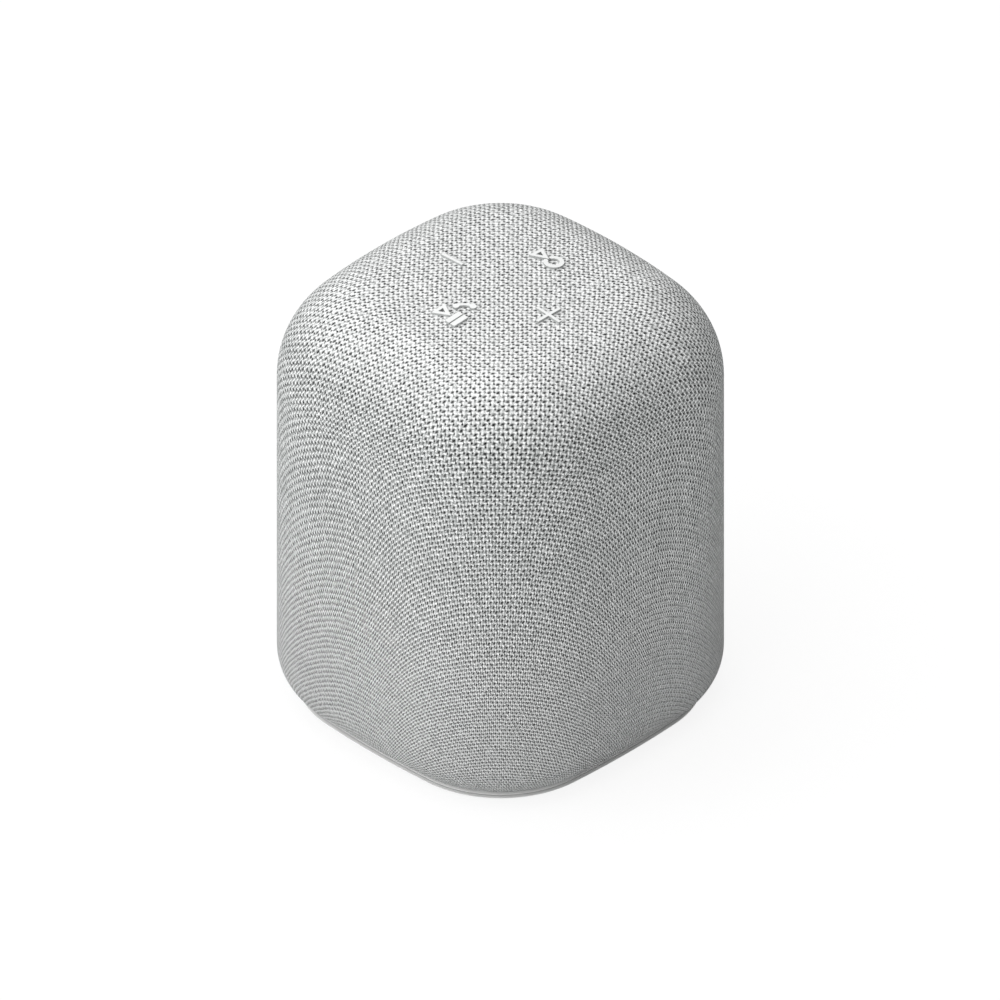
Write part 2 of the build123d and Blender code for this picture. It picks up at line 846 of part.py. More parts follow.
with BuildPart() as tweeter_frame:
    with BuildSketch(front_plane(baffle_y)):
        with Locations((0, tweeter_z)):
            Circle(tweeter_diameter / 2)
            Circle(tweeter_bore / 2, mode=Mode.SUBTRACT)
    extrude(amount=tweeter_plate)
    with BuildSketch(front_plane(baffle_y)):
        with Locations((0, tweeter_z)):
            Circle(motor_radius)
            Circle(tweeter_bore / 2, mode=Mode.SUBTRACT)
    extrude(amount=-tweeter_recess)
keep(tweeter_frame, "tweeter_frame")

with BuildPart() as tweeter_motor:
    with BuildSketch(tweeter_profile):
        with BuildLine():
            Polyline(
                (0, motor_back),
                (motor_radius, motor_back),
                (motor_radius, -tweeter_recess),
                (dome_radius + tweeter_coil_gap, -tweeter_recess),
                (dome_radius + tweeter_coil_gap, gap_back),
                (dome_inner - tweeter_coil_gap, gap_back),
                (dome_inner - tweeter_coil_gap, -tweeter_recess),
                (0, -tweeter_recess),
                close=True,
            )
        make_face()
    revolve(axis=tweeter_axis)
keep(tweeter_motor, "tweeter_motor")

dome_top = tweeter_dome_height - tweeter_skirt
dome_hollow = tweeter_dome_height - tweeter_dome_wall
dome_waist = dome_level(dome_radius, tweeter_dome_height, dome_radius / 2) - tweeter_skirt
dome_inner_waist = dome_level(dome_inner, dome_hollow, dome_inner / 2) - tweeter_skirt
with BuildPart() as tweeter_dome:
    with BuildSketch(tweeter_profile):
        with BuildLine():
            ThreePointArc(
                (0, dome_top),
                (dome_radius / 2, dome_waist),
                (dome_radius, -tweeter_skirt),
            )
            Polyline(
                (dome_radius, -tweeter_skirt),
                (dome_radius, coil_bottom),
                (dome_inner, coil_bottom),
                (dome_inner, -tweeter_skirt),
            )
            ThreePointArc(
                (dome_inner, -tweeter_skirt),
                (dome_inner / 2, dome_inner_waist),
                (0, dome_top - tweeter_dome_wall),
            )
            Line((0, dome_top - tweeter_dome_wall), (0, dome_top))
        make_face()
    revolve(axis=tweeter_axis)
keep(tweeter_dome, "tweeter_dome")

with BuildPart() as tweeter_surround:
    with BuildSketch(front_plane(baffle_y)):
        with Locations((0, tweeter_z)):
            Circle(tweeter_bore / 2 - 2 * seat_clearance)
            Circle(dome_radius + 2 * seat_clearance, mode=Mode.SUBTRACT)
    extrude(amount=-tweeter_skirt)
keep(tweeter_surround, "tweeter_surround")


# Passive radiators: frame, weighted plate and soft roll on each flank
opening_length = radiator_length - 2 * radiator_rim
opening_width = radiator_width - 2 * radiator_rim
plate_length = opening_length - 2 * radiator_roll
plate_width = opening_width - 2 * radiator_roll
for side, hand in ((-1, "left"), (1, "right")):
    flank = flank_plane(side, enclosure_half)
    flank_middle = (side * box_mid_y, enclosure_mid_z)
    with BuildPart() as radiator_frame_ring:
        with BuildSketch(flank):
            with Locations(flank_middle):
                SlotOverall(radiator_length, radiator_width, rotation=90)
                SlotOverall(opening_length, opening_width, rotation=90, mode=Mode.SUBTRACT)
        extrude(amount=radiator_frame)
    keep(radiator_frame_ring, f"radiator_frame_{hand}")

    with BuildPart() as radiator_disc:
        with BuildSketch(flank):
            with Locations(flank_middle):
                SlotOverall(plate_length, plate_width, rotation=90)
        extrude(amount=radiator_plate)
        with BuildSketch(flank):
            with Locations(flank_middle):
                SlotOverall(
                    plate_length - radiator_block_border, plate_width - radiator_block_border, rotation=90
                )
        extrude(amount=-radiator_block_depth)
    keep(radiator_disc, f"radiator_plate_{hand}")

    with BuildPart() as radiator_edge:
        with BuildSketch(flank):
            with Locations(flank_middle):
                SlotOverall(
                    opening_length - 4 * seat_clearance, opening_width - 4 * seat_clearance, rotation=90
                )
                SlotOverall(
                    plate_length + 4 * seat_clearance,
                    plate_width + 4 * seat_clearance,
                    rotation=90,
                    mode=Mode.SUBTRACT,
                )
        extrude(amount=radiator_frame)
        fillet(radiator_edge.edges().group_by(Axis.X)[-1 if side > 0 else 0], radiator_roll_round)
    keep(radiator_edge, f"radiator_surround_{hand}")


# Main board on the enclosure's rear wall, with its shield, heat sink and antenna
main_board_height = main_board_top_z - main_board_bottom_z
main_board_mid_z = (main_board_top_z + main_board_bottom_z) / 2
with BuildPart() as main_board:
    with BuildSketch(rear_plane(main_board_y)):
        with Locations((0, main_board_mid_z)):
            Rectangle(main_board_width, main_board_height)
        with Locations(*peg_points):
            Circle(peg_diameter / 2 + seat_clearance, mode=Mode.SUBTRACT)
    extrude(amount=board_thickness)
keep(main_board, "main_board")

with BuildPart() as processor_shield:
    with BuildSketch(rear_plane(main_board_face_y)):
        with Locations((-chip_offset, main_board_mid_z)):
            Rectangle(shield_size, shield_size)
    extrude(amount=shield_height)
    fillet(processor_shield.edges().group_by(Axis.Y)[-1], shield_round)
keep(processor_shield, "processor_shield")

fin_pitch = (sink_width - fin_thickness) / (fin_count - 1)
with BuildPart() as heat_sink:
    with BuildSketch(rear_plane(main_board_face_y)):
        with Locations((chip_offset, main_board_mid_z)):
            Rectangle(sink_width, sink_length)
    extrude(amount=sink_base)
    with BuildSketch(rear_plane(main_board_face_y + sink_base)):
        with Locations((chip_offset, main_board_mid_z)):
            with GridLocations(fin_pitch, fin_pitch, fin_count, 1):
                Rectangle(fin_thickness, sink_length)
    extrude(amount=fin_height)
keep(heat_sink, "heat_sink")

with BuildPart() as antenna:
    with BuildSketch(rear_plane(main_board_face_y)):
        with Locations((antenna_offset, main_board_top_z - antenna_width / 2 - peg_diameter / 2)):
            Rectangle(antenna_length, antenna_width)
    extrude(amount=antenna_thickness)
keep(antenna, "antenna")


# Key deck on the enclosure's roof, the control board on it, and the board's parts
deck_posts = [
    (side * (deck_half - deck_post_setback), y)
    for side in (-1, 1)
    for y in (deck_post_setback - deck_half, box_back_y - deck_post_setback)
]
with BuildPart() as key_deck:
    with BuildSketch(Plane.XY.offset(deck_bottom_z)):
        RectangleRounded(2 * deck_half, 2 * deck_half, deck_round)
    extrude(amount=deck_plate)
    with BuildSketch(Plane.XY.offset(enclosure_top_z)):
        with Locations(*deck_posts):
            Circle(deck_post_diameter / 2)
    extrude(amount=deck_post)
keep(key_deck, "key_deck")

with BuildPart() as control_board:
    with BuildSketch(Plane.XY.offset(deck_top_z)):
        RectangleRounded(2 * control_half, 2 * control_half, deck_round)
    extrude(amount=small_board_thickness)
keep(control_board, "control_board")

for side, hand in ((-1, "left"), (1, "right")):
    with BuildPart() as microphone:
        with BuildSketch(Plane((side * microphone_reach, -microphone_reach, control_top_z))):
            Rectangle(microphone_size, microphone_size)
        extrude(amount=microphone_height)
    keep(microphone, f"microphone_{hand}")

ribbon_low = main_board_top_z - ribbon_lap
ribbon_inner_y = control_half - ribbon_lap
with BuildPart() as ribbon_cable:
    with BuildSketch(flank_plane(1, ribbon_x - ribbon_width / 2)):
        with BuildLine():
            Polyline(
                (main_board_face_y, ribbon_low),
                (main_board_face_y + ribbon_thickness, ribbon_low),
                (main_board_face_y + ribbon_thickness, control_top_z + ribbon_thickness),
                (ribbon_inner_y, control_top_z + ribbon_thickness),
                (ribbon_inner_y, control_top_z),
                (main_board_face_y, control_top_z),
                close=True,
            )
        make_face()
    extrude(amount=ribbon_width)
keep(ribbon_cable, "ribbon_cable")


# Top keys: symbol, cap, retaining flange and a stem that works the switch below
for name, (place, draw) in keys.items():
    with BuildPart() as inlay:
        with BuildSketch(Plane((*place, key_cap_z))):
            draw(-seat_clearance, True)
        extrude(amount=body_height - key_cap_z)
        with Locations((0, 0, body_height - crown_radius)):
            Sphere(crown_radius - symbol_sink, mode=Mode.INTERSECT)

    with BuildPart() as key:
        with BuildSketch(Plane((*place, key_cap_z))):
            draw(0, False)
        extrude(amount=body_height - key_cap_z + symbol_relief)
        with Locations((0, 0, body_height - crown_radius)):
            Sphere(crown_radius + symbol_relief, mode=Mode.INTERSECT)
        add(inlay.part)
        with BuildSketch(Plane((*place, key_rest_z))):
            Circle(key_diameter / 2)
        extrude(amount=key_cap_z - key_rest_z)
        with BuildSketch(Plane((*place, key_rest_z))):
            Circle(key_diameter / 2 + key_flange)
        extrude(amount=key_flange_height)
        with BuildSketch(Plane((*place, switch_top_z - switch_sink))):
            Circle(key_stem_diameter / 2)
        extrude(amount=key_rest_z - switch_top_z + switch_sink)
    keep(key, name)

    with BuildPart() as key_switch:
        with BuildSketch(Plane((*place, control_top_z))):
            Rectangle(switch_size, switch_size)
        extrude(amount=switch_height)
        with BuildSketch(Plane((*place, switch_top_z))):
            Circle(key_stem_diameter / 2 + slot_clearance)
        extrude(amount=-switch_sink - key_travel - slot_clearance, mode=Mode.SUBTRACT)
    keep(key_switch, name.replace("key_", "switch_"))


# Rear panel through the cloth, with holes for the buttons and the power socket
panel_inner_y = side_depth(panel_width / 2 + panel_lip, inner_inset) - panel_back
port_face_y = body_width / 2 - panel_sink - port_depth
button_points = [(-button_spread / 2, panel_z), (button_spread / 2, panel_z)]
port_posts = [(-port_post_spread / 2, panel_z), (port_post_spread / 2, panel_z)]

with BuildPart() as panel_bounds:
    with BuildSketch(Plane.XY):
        body_outline(panel_sink)
    extrude(amount=body_height)

with BuildPart() as flange_bounds:
    with BuildSketch(Plane.XY):
        body_outline(inner_inset + seat_clearance)
    extrude(amount=body_height)

with BuildPart() as panel_flange:
    with BuildSketch(rear_plane(panel_inner_y)):
        with Locations((0, panel_z)):
            SlotOverall(panel_width + 2 * panel_lip, panel_height + 2 * panel_lip)
    extrude(amount=shell_wall + panel_back)
    add(flange_bounds.part, mode=Mode.INTERSECT)

with BuildPart() as rear_panel:
    with BuildSketch(rear_plane(panel_inner_y)):
        with Locations((0, panel_z)):
            SlotOverall(panel_width, panel_height)
    extrude(amount=body_width)
    add(panel_bounds.part, mode=Mode.INTERSECT)
    add(panel_flange.part)
    with BuildSketch(rear_plane(panel_inner_y)):
        with Locations(*button_points):
            Circle(button_diameter / 2 + slot_clearance)
        with Locations((0, panel_z)):
            SlotOverall(socket_width + 2 * slot_clearance, socket_height + 2 * slot_clearance)
    extrude(amount=body_width, mode=Mode.SUBTRACT)
    with BuildSketch(rear_plane(panel_inner_y)):
        with Locations(*port_posts):
            Circle(port_post_diameter / 2)
    extrude(amount=port_face_y - panel_inner_y)
keep(rear_panel, "rear_panel")

with BuildPart() as port_board:
    with BuildSketch(rear_plane(port_face_y)):
        with Locations((0, panel_z)):
            Rectangle(port_board_width, port_board_height)
    extrude(amount=-small_board_thickness)
keep(port_board, "port_board")

socket_mouth_y = body_width / 2 - panel_sink - socket_recess
with BuildPart() as power_socket:
    with BuildSketch(rear_plane(port_face_y)):
        with Locations((0, panel_z)):
            SlotOverall(socket_width, socket_height)
    extrude(amount=socket_mouth_y - port_face_y)
    with BuildSketch(rear_plane(socket_mouth_y)):
        with Locations((0, panel_z)):
            SlotOverall(socket_width - 2 * socket_wall, socket_height - 2 * socket_wall)
    extrude(amount=port_face_y - socket_mouth_y + tongue_setback, mode=Mode.SUBTRACT)
    with BuildSketch(rear_plane(port_face_y)):
        with Locations((0, panel_z)):
            Rectangle(tongue_width, tongue_thickness)
    extrude(amount=socket_mouth_y - port_face_y - tongue_setback)
keep(power_socket, "power_socket")


# Rear buttons and their switches
button_face_y = side_depth(button_spread / 2, panel_sink) + button_proud
button_stop_y = panel_inner_y - part_clearance
button_rest_y = button_stop_y - button_flange_height
rear_switch_y = port_face_y + switch_height
for name, place in zip(("power", "pairing"), button_points):
    with BuildPart() as button:
        with BuildSketch(rear_plane(button_rest_y)):
            with Locations(place):
                Circle(button_diameter / 2)
        extrude(amount=button_face_y - button_rest_y)
        fillet(button.edges().group_by(Axis.Y)[-1], button_proud)
        with BuildSketch(rear_plane(button_rest_y)):
            with Locations(place):
                Circle(button_diameter / 2 + button_flange)
        extrude(amount=button_flange_height)
        with BuildSketch(rear_plane(rear_switch_y - switch_sink)):
            with Locations(place):
                Circle(key_stem_diameter / 2)
        extrude(amount=button_rest_y - rear_switch_y + switch_sink)
    keep(button, f"button_{name}")

    with BuildPart() as button_switch:
        with BuildSketch(rear_plane(port_face_y)):
            with Locations(place):
                Rectangle(switch_size, switch_size)
        extrude(amount=switch_height)
        with BuildSketch(rear_plane(rear_switch_y)):
            with Locations(place):
                Circle(key_stem_diameter / 2 + slot_clearance)
        extrude(amount=-switch_sink - button_travel - slot_clearance, mode=Mode.SUBTRACT)
    keep(button_switch, f"switch_{name}")
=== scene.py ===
import json
import math

import bmesh
import bpy
import numpy as np
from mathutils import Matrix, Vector


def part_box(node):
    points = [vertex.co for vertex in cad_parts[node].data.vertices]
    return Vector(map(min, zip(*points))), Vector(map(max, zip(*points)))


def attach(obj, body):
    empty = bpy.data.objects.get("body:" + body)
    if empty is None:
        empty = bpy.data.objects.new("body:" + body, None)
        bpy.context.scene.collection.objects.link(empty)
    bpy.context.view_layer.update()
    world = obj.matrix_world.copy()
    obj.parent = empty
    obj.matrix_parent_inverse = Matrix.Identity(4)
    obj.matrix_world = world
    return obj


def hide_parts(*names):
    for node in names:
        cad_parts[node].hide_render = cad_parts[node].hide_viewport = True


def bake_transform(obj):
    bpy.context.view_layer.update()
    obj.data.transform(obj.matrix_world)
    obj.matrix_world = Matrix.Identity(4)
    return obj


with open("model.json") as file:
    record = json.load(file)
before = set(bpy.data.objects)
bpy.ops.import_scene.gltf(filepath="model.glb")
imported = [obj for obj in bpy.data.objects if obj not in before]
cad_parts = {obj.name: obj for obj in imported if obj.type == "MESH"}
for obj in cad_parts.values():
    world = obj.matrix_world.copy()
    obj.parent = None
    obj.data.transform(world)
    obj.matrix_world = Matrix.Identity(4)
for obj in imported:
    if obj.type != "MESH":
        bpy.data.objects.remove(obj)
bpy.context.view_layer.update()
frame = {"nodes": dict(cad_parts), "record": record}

# Body form, in metres
BODY_WIDTH = 0.090
BODY_HEIGHT = 0.110
CORNER_RADIUS = 0.030
SIDE_BOW = 0.255
CROWN_RADIUS = 0.290
CROWN_CENTRE = BODY_HEIGHT - CROWN_RADIUS
TOP_ROUND = 0.023
BOTTOM_ROUND = 0.0115
BODY_BASE = 0.00035
WALL_FOOT = BODY_BASE + BOTTOM_ROUND
CLOTH_EDGE = 0.00155
CLOTH_THICKNESS = 0.001

# Hem: how far it rolls down and tucks in, and the share of the tuck and of the roll at each ring
HEM_ROLL = 0.0002
HEM_TUCK = 0.0022
HEM_STEPS = ((0.25, 0.55), (0.6, 0.9), (1.0, 1.0))

# The cloth lies a little lower round the keys, so a pressed symbol still shows
KEY_DIP = 0.00008
DIP_EDGE = 0.030
DIP_FADE = 0.006

# Opening in the cloth for the rear panel
PANEL_Z = 0.026
PANEL_RUN = 0.012
PANEL_ROUND = 0.00615
PANEL_LIP = 0.0001
PANEL_TURN = 0.0002

# Mesh steps
SIDE_STEPS = 36
CORNER_STEPS = 36
CROWN_STEPS = 30
ROUND_STEPS = 30
WALL_STEPS = 66
FOOT_STEPS = 16

# Yarns: pitch of the upright and level yarns, and how the cloth was drawn over the body
COLUMN_PITCH = 0.001068
ROW_PITCH = 0.00105
FACE_DRAW = 1.036
CORNER_DRAW = 0.958
WALL_DRAW = 0.818
LOW_START = 0.0538
LOW_GAIN = 10.1
FOOT_DRAW = 1.24


# The body's plan: points at a given turn of the outward direction

QUARTER_TURN = math.pi / 2
TURN_SLACK = 1e-9


def corner_centre():
    side = SIDE_BOW - BODY_WIDTH / 2
    reach = SIDE_BOW - CORNER_RADIUS
    return (math.sqrt(2 * reach**2 - side**2) - side) / 2


CORNER = corner_centre()
LEAN = math.asin(CORNER / (SIDE_BOW - CORNER_RADIUS))


def plan_turns():
    """Turns of the outward direction round the body, close together on sides and corners alike."""
    side = np.linspace(-LEAN, LEAN, SIDE_STEPS, endpoint=False)
    corner = np.linspace(LEAN, QUARTER_TURN - LEAN, CORNER_STEPS, endpoint=False)
    quarter = np.concatenate([side, corner])
    return np.concatenate([quarter + k * QUARTER_TURN for k in range(4)])


def plan_points(turns, inset):
    """Plan outline moved in by inset, at each turn of the outward direction."""
    quarter = np.floor((turns + LEAN) / QUARTER_TURN + TURN_SLACK) * QUARTER_TURN
    local = turns - quarter
    on_side = local <= LEAN
    centre_x = np.where(on_side, 0, CORNER)
    centre_y = np.where(on_side, BODY_WIDTH / 2 - SIDE_BOW, CORNER)
    radius = np.where(on_side, SIDE_BOW, CORNER_RADIUS) - inset
    x = centre_x + radius * np.sin(local)
    y = centre_y + radius * np.cos(local)
    cos, sin = np.cos(quarter), np.sin(quarter)
    return np.stack([x * cos + y * sin, y * cos - x * sin], axis=1)


# The cloth's surface as rings of points, each with the length of drawn cloth that leads to it

def lift(plan, height):
    return np.concatenate([plan, np.broadcast_to(height, (len(plan),))[:, None]], axis=1)


def key_dip(radius):
    return KEY_DIP * np.clip((DIP_EDGE - radius) / DIP_FADE, 0, 1)


def wall_reach(top, height):
    """Length of drawn cloth from the wall's top down to a height: it is drawn more towards the foot."""
    low = np.maximum(LOW_START - height, 0)
    return WALL_DRAW * (top - height) + LOW_GAIN * low**2 / 2


def crown_rings(edge):
    """The domed crown, out to its edge."""
    for step in range(1, CROWN_STEPS + 1):
        plan = edge * step / CROWN_STEPS
        radius = np.hypot(*plan.T)
        height = CROWN_CENTRE + np.sqrt(CROWN_RADIUS**2 - (plan**2).sum(1)) - key_dip(radius)
        yield lift(plan, height), CROWN_RADIUS * np.arcsin(radius / CROWN_RADIUS)


def round_rings(ball, upward, outward, bend, crown_run):
    """The rounded top edge, from the crown to the wall."""
    for step in range(1, ROUND_STEPS + 1):
        share = step / ROUND_STEPS
        arc = np.sin((1 - share) * bend)[:, None] * upward + np.sin(share * bend)[:, None] * outward
        points = ball + TOP_ROUND * arc / np.sin(bend)[:, None]
        yield points, crown_run + TOP_ROUND * bend * share


def wall_rings(turns, wall_top):
    wall = plan_points(turns, 0)
    for step in range(1, WALL_STEPS + 1):
        height = wall_top + (WALL_FOOT - wall_top) * step / WALL_STEPS
        yield lift(wall, height), wall_reach(wall_top, height)


def foot_rings(turns, outward):
    """The rounded foot, down to the hem."""
    centre = plan_points(turns, BOTTOM_ROUND)
    last = math.asin((WALL_FOOT - CLOTH_EDGE - HEM_ROLL) / BOTTOM_ROUND)
    for step in range(1, FOOT_STEPS + 1):
        turn = last * step / FOOT_STEPS
        points = lift(centre, WALL_FOOT - BOTTOM_ROUND * math.sin(turn))
        yield points + outward * BOTTOM_ROUND * math.cos(turn), FOOT_DRAW * BOTTOM_ROUND * turn


def hem_rings(hem, outward):
    """The hem, rolled and tucked in under the foot."""
    for share, drop in HEM_STEPS:
        points = hem - outward * HEM_TUCK * share - np.array([0, 0, HEM_ROLL * drop])
        yield points, HEM_TUCK * share


def cloth_rings():
    """Rings from the top down to the hem, as pairs of points and lengths of drawn cloth."""
    turns = plan_turns()
    outward = lift(np.stack([np.sin(turns), np.cos(turns)], axis=1), 0)
    inner = plan_points(turns, TOP_ROUND)
    ball_reach = CROWN_RADIUS - TOP_ROUND
    ball = lift(inner, CROWN_CENTRE + np.sqrt(ball_reach**2 - (inner**2).sum(1)))
    upward = (ball - np.array([0, 0, CROWN_CENTRE])) / ball_reach
    edge = upward[:, :2] * CROWN_RADIUS
    bend = np.arccos((upward * outward).sum(1))
    crown_run = CROWN_RADIUS * np.arcsin(np.hypot(*edge.T) / CROWN_RADIUS)
    top_run = crown_run + TOP_ROUND * bend
    corner_share = (top_run - top_run.min()) / (top_run.max() - top_run.min())
    draw = FACE_DRAW + (CORNER_DRAW - FACE_DRAW) * corner_share
    wall_top = ball[:, 2]
    wall_run = top_run * draw
    foot_run = wall_run + wall_reach(wall_top, WALL_FOOT)
    top = [*crown_rings(edge), *round_rings(ball, upward, outward, bend, crown_run)]
    rings = [(points, run * (1 + (draw - 1) * run / top_run)) for points, run in top]
    rings += [(points, wall_run + run) for points, run in wall_rings(turns, wall_top)]
    rings += [(points, foot_run + run) for points, run in foot_rings(turns, outward)]
    hem, hem_run = rings[-1]
    rings += [(points, hem_run + run) for points, run in hem_rings(hem, outward)]
    return rings


def yarn_counts(points, reach):
    """Yarns counted from the top's middle: across the upright yarns, and across the level ones."""
    turn = np.arctan2(points[:, 1], points[:, 0])
    across = reach * np.cos(turn - math.pi / 4)
    along = reach * np.cos(turn + math.pi / 4)
    return np.stack([across / COLUMN_PITCH, along / ROW_PITCH], axis=1)


def cloth_faces(rings, around):
    """A fan at the top, then four-sided faces between rings. Point 0 is the top's middle."""
    fan = [(0, 1 + k, 1 + (k + 1) % around) for k in range(around)]
    bands = []
    for ring in range(rings - 1):
        start = 1 + ring * around
        for k in range(around):
            after = (k + 1) % around
            bands.append((start + k, start + around + k, start + around + after, start + after))
    return fan + bands


# The rear opening in the cloth

def panel_distance(points):
    """Signed distance from the rear opening's edge, in the plane of the rear face."""
    across = np.maximum(np.abs(points[:, 0]) - PANEL_RUN, 0)
    return np.hypot(across, points[:, 2] - PANEL_Z) - PANEL_ROUND


def cut_panel(points, faces):
    """The faces left round the opening, and the points along its rim."""
    distance = np.where(points[:, 1] > 0, panel_distance(points), 1)
    inside = [np.mean(distance[list(face)]) < 0 for face in faces]
    kept = [face for face, gone in zip(faces, inside) if not gone]
    cut = {k for face, gone in zip(faces, inside) if gone for k in face}
    rim = sorted(cut & {k for face in kept for k in face})
    return kept, rim


def draw_to_outline(points, rim):
    """Moves the rim's points onto the opening's outline, and gives their outward directions."""
    points = points.copy()
    clear = np.clip(points[rim, 0], -PANEL_RUN, PANEL_RUN)
    spoke = np.stack([points[rim, 0] - clear, points[rim, 2] - PANEL_Z], axis=1)
    spoke /= np.hypot(*spoke.T)[:, None]
    points[rim, 0] = clear + spoke[:, 0] * PANEL_ROUND
    points[rim, 2] = PANEL_Z + spoke[:, 1] * PANEL_ROUND
    bow = SIDE_BOW**2 - points[rim, 0] ** 2
    points[rim, 1] = BODY_WIDTH / 2 - SIDE_BOW + np.sqrt(bow)
    return points, spoke


def rim_edges(faces, rim):
    """The edges along the rim, each of one face only."""
    edges = dict.fromkeys((a, b) for face in faces for a, b in zip(face, face[1:] + face[:1]))
    on_rim = set(rim)
    return [(a, b) for a, b in edges if (b, a) not in edges and a in on_rim and b in on_rim]


def open_panel(points, counts, faces):
    """Cuts the opening, draws its edge to the outline and turns the cloth in round it."""
    faces, rim = cut_panel(points, faces)
    points, spoke = draw_to_outline(points, rim)
    border = rim_edges(faces, rim)
    index = {k: n for n, k in enumerate(rim)}
    previous = {k: k for k in rim}
    layers, layer_counts = [points], [counts]
    total = len(points)
    for depth in (PANEL_TURN, CLOTH_THICKNESS):
        ring = points[rim].copy()
        ring[:, 0] -= spoke[:, 0] * PANEL_LIP
        ring[:, 2] -= spoke[:, 1] * PANEL_LIP
        ring[:, 1] -= depth
        layers.append(ring)
        layer_counts.append(counts[rim] + depth / ROW_PITCH)
        fresh = {k: total + index[k] for k in rim}
        faces += [(previous[b], previous[a], fresh[a], fresh[b]) for a, b in border]
        previous = fresh
        total += len(rim)
    return np.concatenate(layers), np.concatenate(layer_counts), faces


def new_mesh(name, points, faces):
    """A mesh object with smooth faces."""
    mesh = bpy.data.meshes.new(name)
    mesh.from_pydata([tuple(p) for p in points], [], faces)
    mesh.polygons.foreach_set("use_smooth", [True] * len(mesh.polygons))
    piece = bpy.data.objects.new(name, mesh)
    bpy.context.scene.collection.objects.link(piece)
    return piece


def make_cloth():
    """The whole cover, with its yarn counts kept as a map on the mesh."""
    rings = cloth_rings()
    around = len(rings[0][0])
    top = [[0, 0, BODY_HEIGHT - KEY_DIP]]
    points = np.concatenate([top, *(ring for ring, run in rings)])
    counts = yarn_counts(points, np.concatenate([[0], *(run for ring, run in rings)]))
    faces = cloth_faces(len(rings), around)
    points, counts, faces = open_panel(points, counts, faces)
    used = sorted({k for face in faces for k in face})
    place = {k: n for n, k in enumerate(used)}
    faces = [tuple(place[k] for k in face) for face in faces]
    piece = new_mesh("cloth_cover", points[used], faces)
    weave = piece.data.uv_layers.new(name="weave")
    corners = np.empty(len(piece.data.loops), dtype=np.int32)
    piece.data.loops.foreach_get("vertex_index", corners)
    weave.data.foreach_set("uv", counts[used][corners].astype(np.float32).ravel())
    return piece


# Node helpers

def new_material(name):
    material = bpy.data.materials.new(name)
    material.use_nodes = True
    tree = material.node_tree
    shader = tree.nodes["Principled BSDF"]
    return material, tree, shader


def feed(tree, socket, value):
    """Sets a number or a colour on a socket, or links another socket to it."""
    if isinstance(value, tuple):
        socket.default_value = (*value, 1)
    elif isinstance(value, (int, float)):
        socket.default_value = value
    else:
        tree.links.new(value, socket)


def calc(tree, operation, *values):
    node = tree.nodes.new("ShaderNodeMath")
    node.operation = operation
    for socket, value in zip(node.inputs, values):
        feed(tree, socket, value)
    return node.outputs[0]


def blend(tree, share, first, second):
    """Colour between two colours or colour sockets."""
    node = tree.nodes.new("ShaderNodeMix")
    node.data_type = "RGBA"
    for number, value in ((0, share), (6, first), (7, second)):
        feed(tree, node.inputs[number], value)
    return node.outputs[2]


def pick(tree, share, first, second):
    """The first value where share is 0, and the second where it is 1."""
    node = tree.nodes.new("ShaderNodeMix")
    for number, value in ((0, share), (2, first), (3, second)):
        feed(tree, node.inputs[number], value)
    return node.outputs[0]


def join(tree, *values):
    node = tree.nodes.new("ShaderNodeCombineXYZ")
    for socket, value in zip(node.inputs, values):
        feed(tree, socket, value)
    return node.outputs[0]


def parts(tree, vector):
    node = tree.nodes.new("ShaderNodeSeparateXYZ")
    tree.links.new(vector, node.inputs[0])
    return node.outputs


def noise(tree, place, scale, detail=2.0, roughness=0.5):
    node = tree.nodes.new("ShaderNodeTexNoise")
    node.inputs["Scale"].default_value = scale
    node.inputs["Detail"].default_value = detail
    node.inputs["Roughness"].default_value = roughness
    tree.links.new(place, node.inputs["Vector"])
    return node


def stretch(tree, value, low, high, new_low=0.0, new_high=1.0):
    node = tree.nodes.new("ShaderNodeMapRange")
    for socket, number in zip(list(node.inputs)[1:5], (low, high, new_low, new_high)):
        socket.default_value = number
    tree.links.new(value, node.inputs[0])
    return node.outputs[0]


def relief(tree, shader, height, depth):
    node = tree.nodes.new("ShaderNodeBump")
    node.inputs["Strength"].default_value = 1.0
    node.inputs["Distance"].default_value = depth
    tree.links.new(height, node.inputs["Height"])
    tree.links.new(node.outputs[0], shader.inputs["Normal"])


def own_place(tree, scale=(1, 1, 1)):
    """The object's own coordinates, in metres, drawn out along an axis where scale is small."""
    node = tree.nodes.new("ShaderNodeTexCoord")
    mapping = tree.nodes.new("ShaderNodeMapping")
    mapping.inputs["Scale"].default_value = scale
    tree.links.new(node.outputs["Object"], mapping.inputs["Vector"])
    return mapping.outputs[0]


def standing_height(tree):
    return parts(tree, own_place(tree))[2]


# Cloth: a plain weave of pale yarns, bright along their crests, with painted shade down their flanks and in
# the small gaps between them

# The dark yarn colour is both the yarns' own darker tone and painted shade; the gap colour is painted shade
# in the gaps
YARN_LIGHT = (0.972, 0.982, 0.978)
YARN_DARK_AND_SHADE = (0.300, 0.320, 0.314)
GAP_PAINTED_SHADE = (0.010, 0.012, 0.012)

# Form of a yarn, in yarn pitches
YARN_RISE = 0.10
YARN_ROUND = 0.36
YARN_HALF = 0.56
YARN_SWAY = 0.07
GAP_SINK = 0.25
WEAVE_DEPTH = 0.0021

# Wandering of the yarns: scale and reach of slow drifts and of quick jitter
DRIFTS = ((0.23, 0.35), (0.8, 0.16))

# Gaps: how sharp they are each way, how quickly they change, and how dark their painted shade gets
LONG_GAP_WIDE = 0.8
LONG_GAP_NARROW = 3.5
LONG_GAP_ROWS = 0.9
LONG_GAP_SCALE = 0.9
LONG_GAP_DARK = (0.15, 2.0)
SMALL_GAP_POWER = 5.0
SMALL_GAP_SHIFT = 0.46
SMALL_GAP_SCALE = 1.3
SMALL_GAP_DARK = (0.0, 2.3)
CHANCE_SPREAD = (0.3, 0.7)

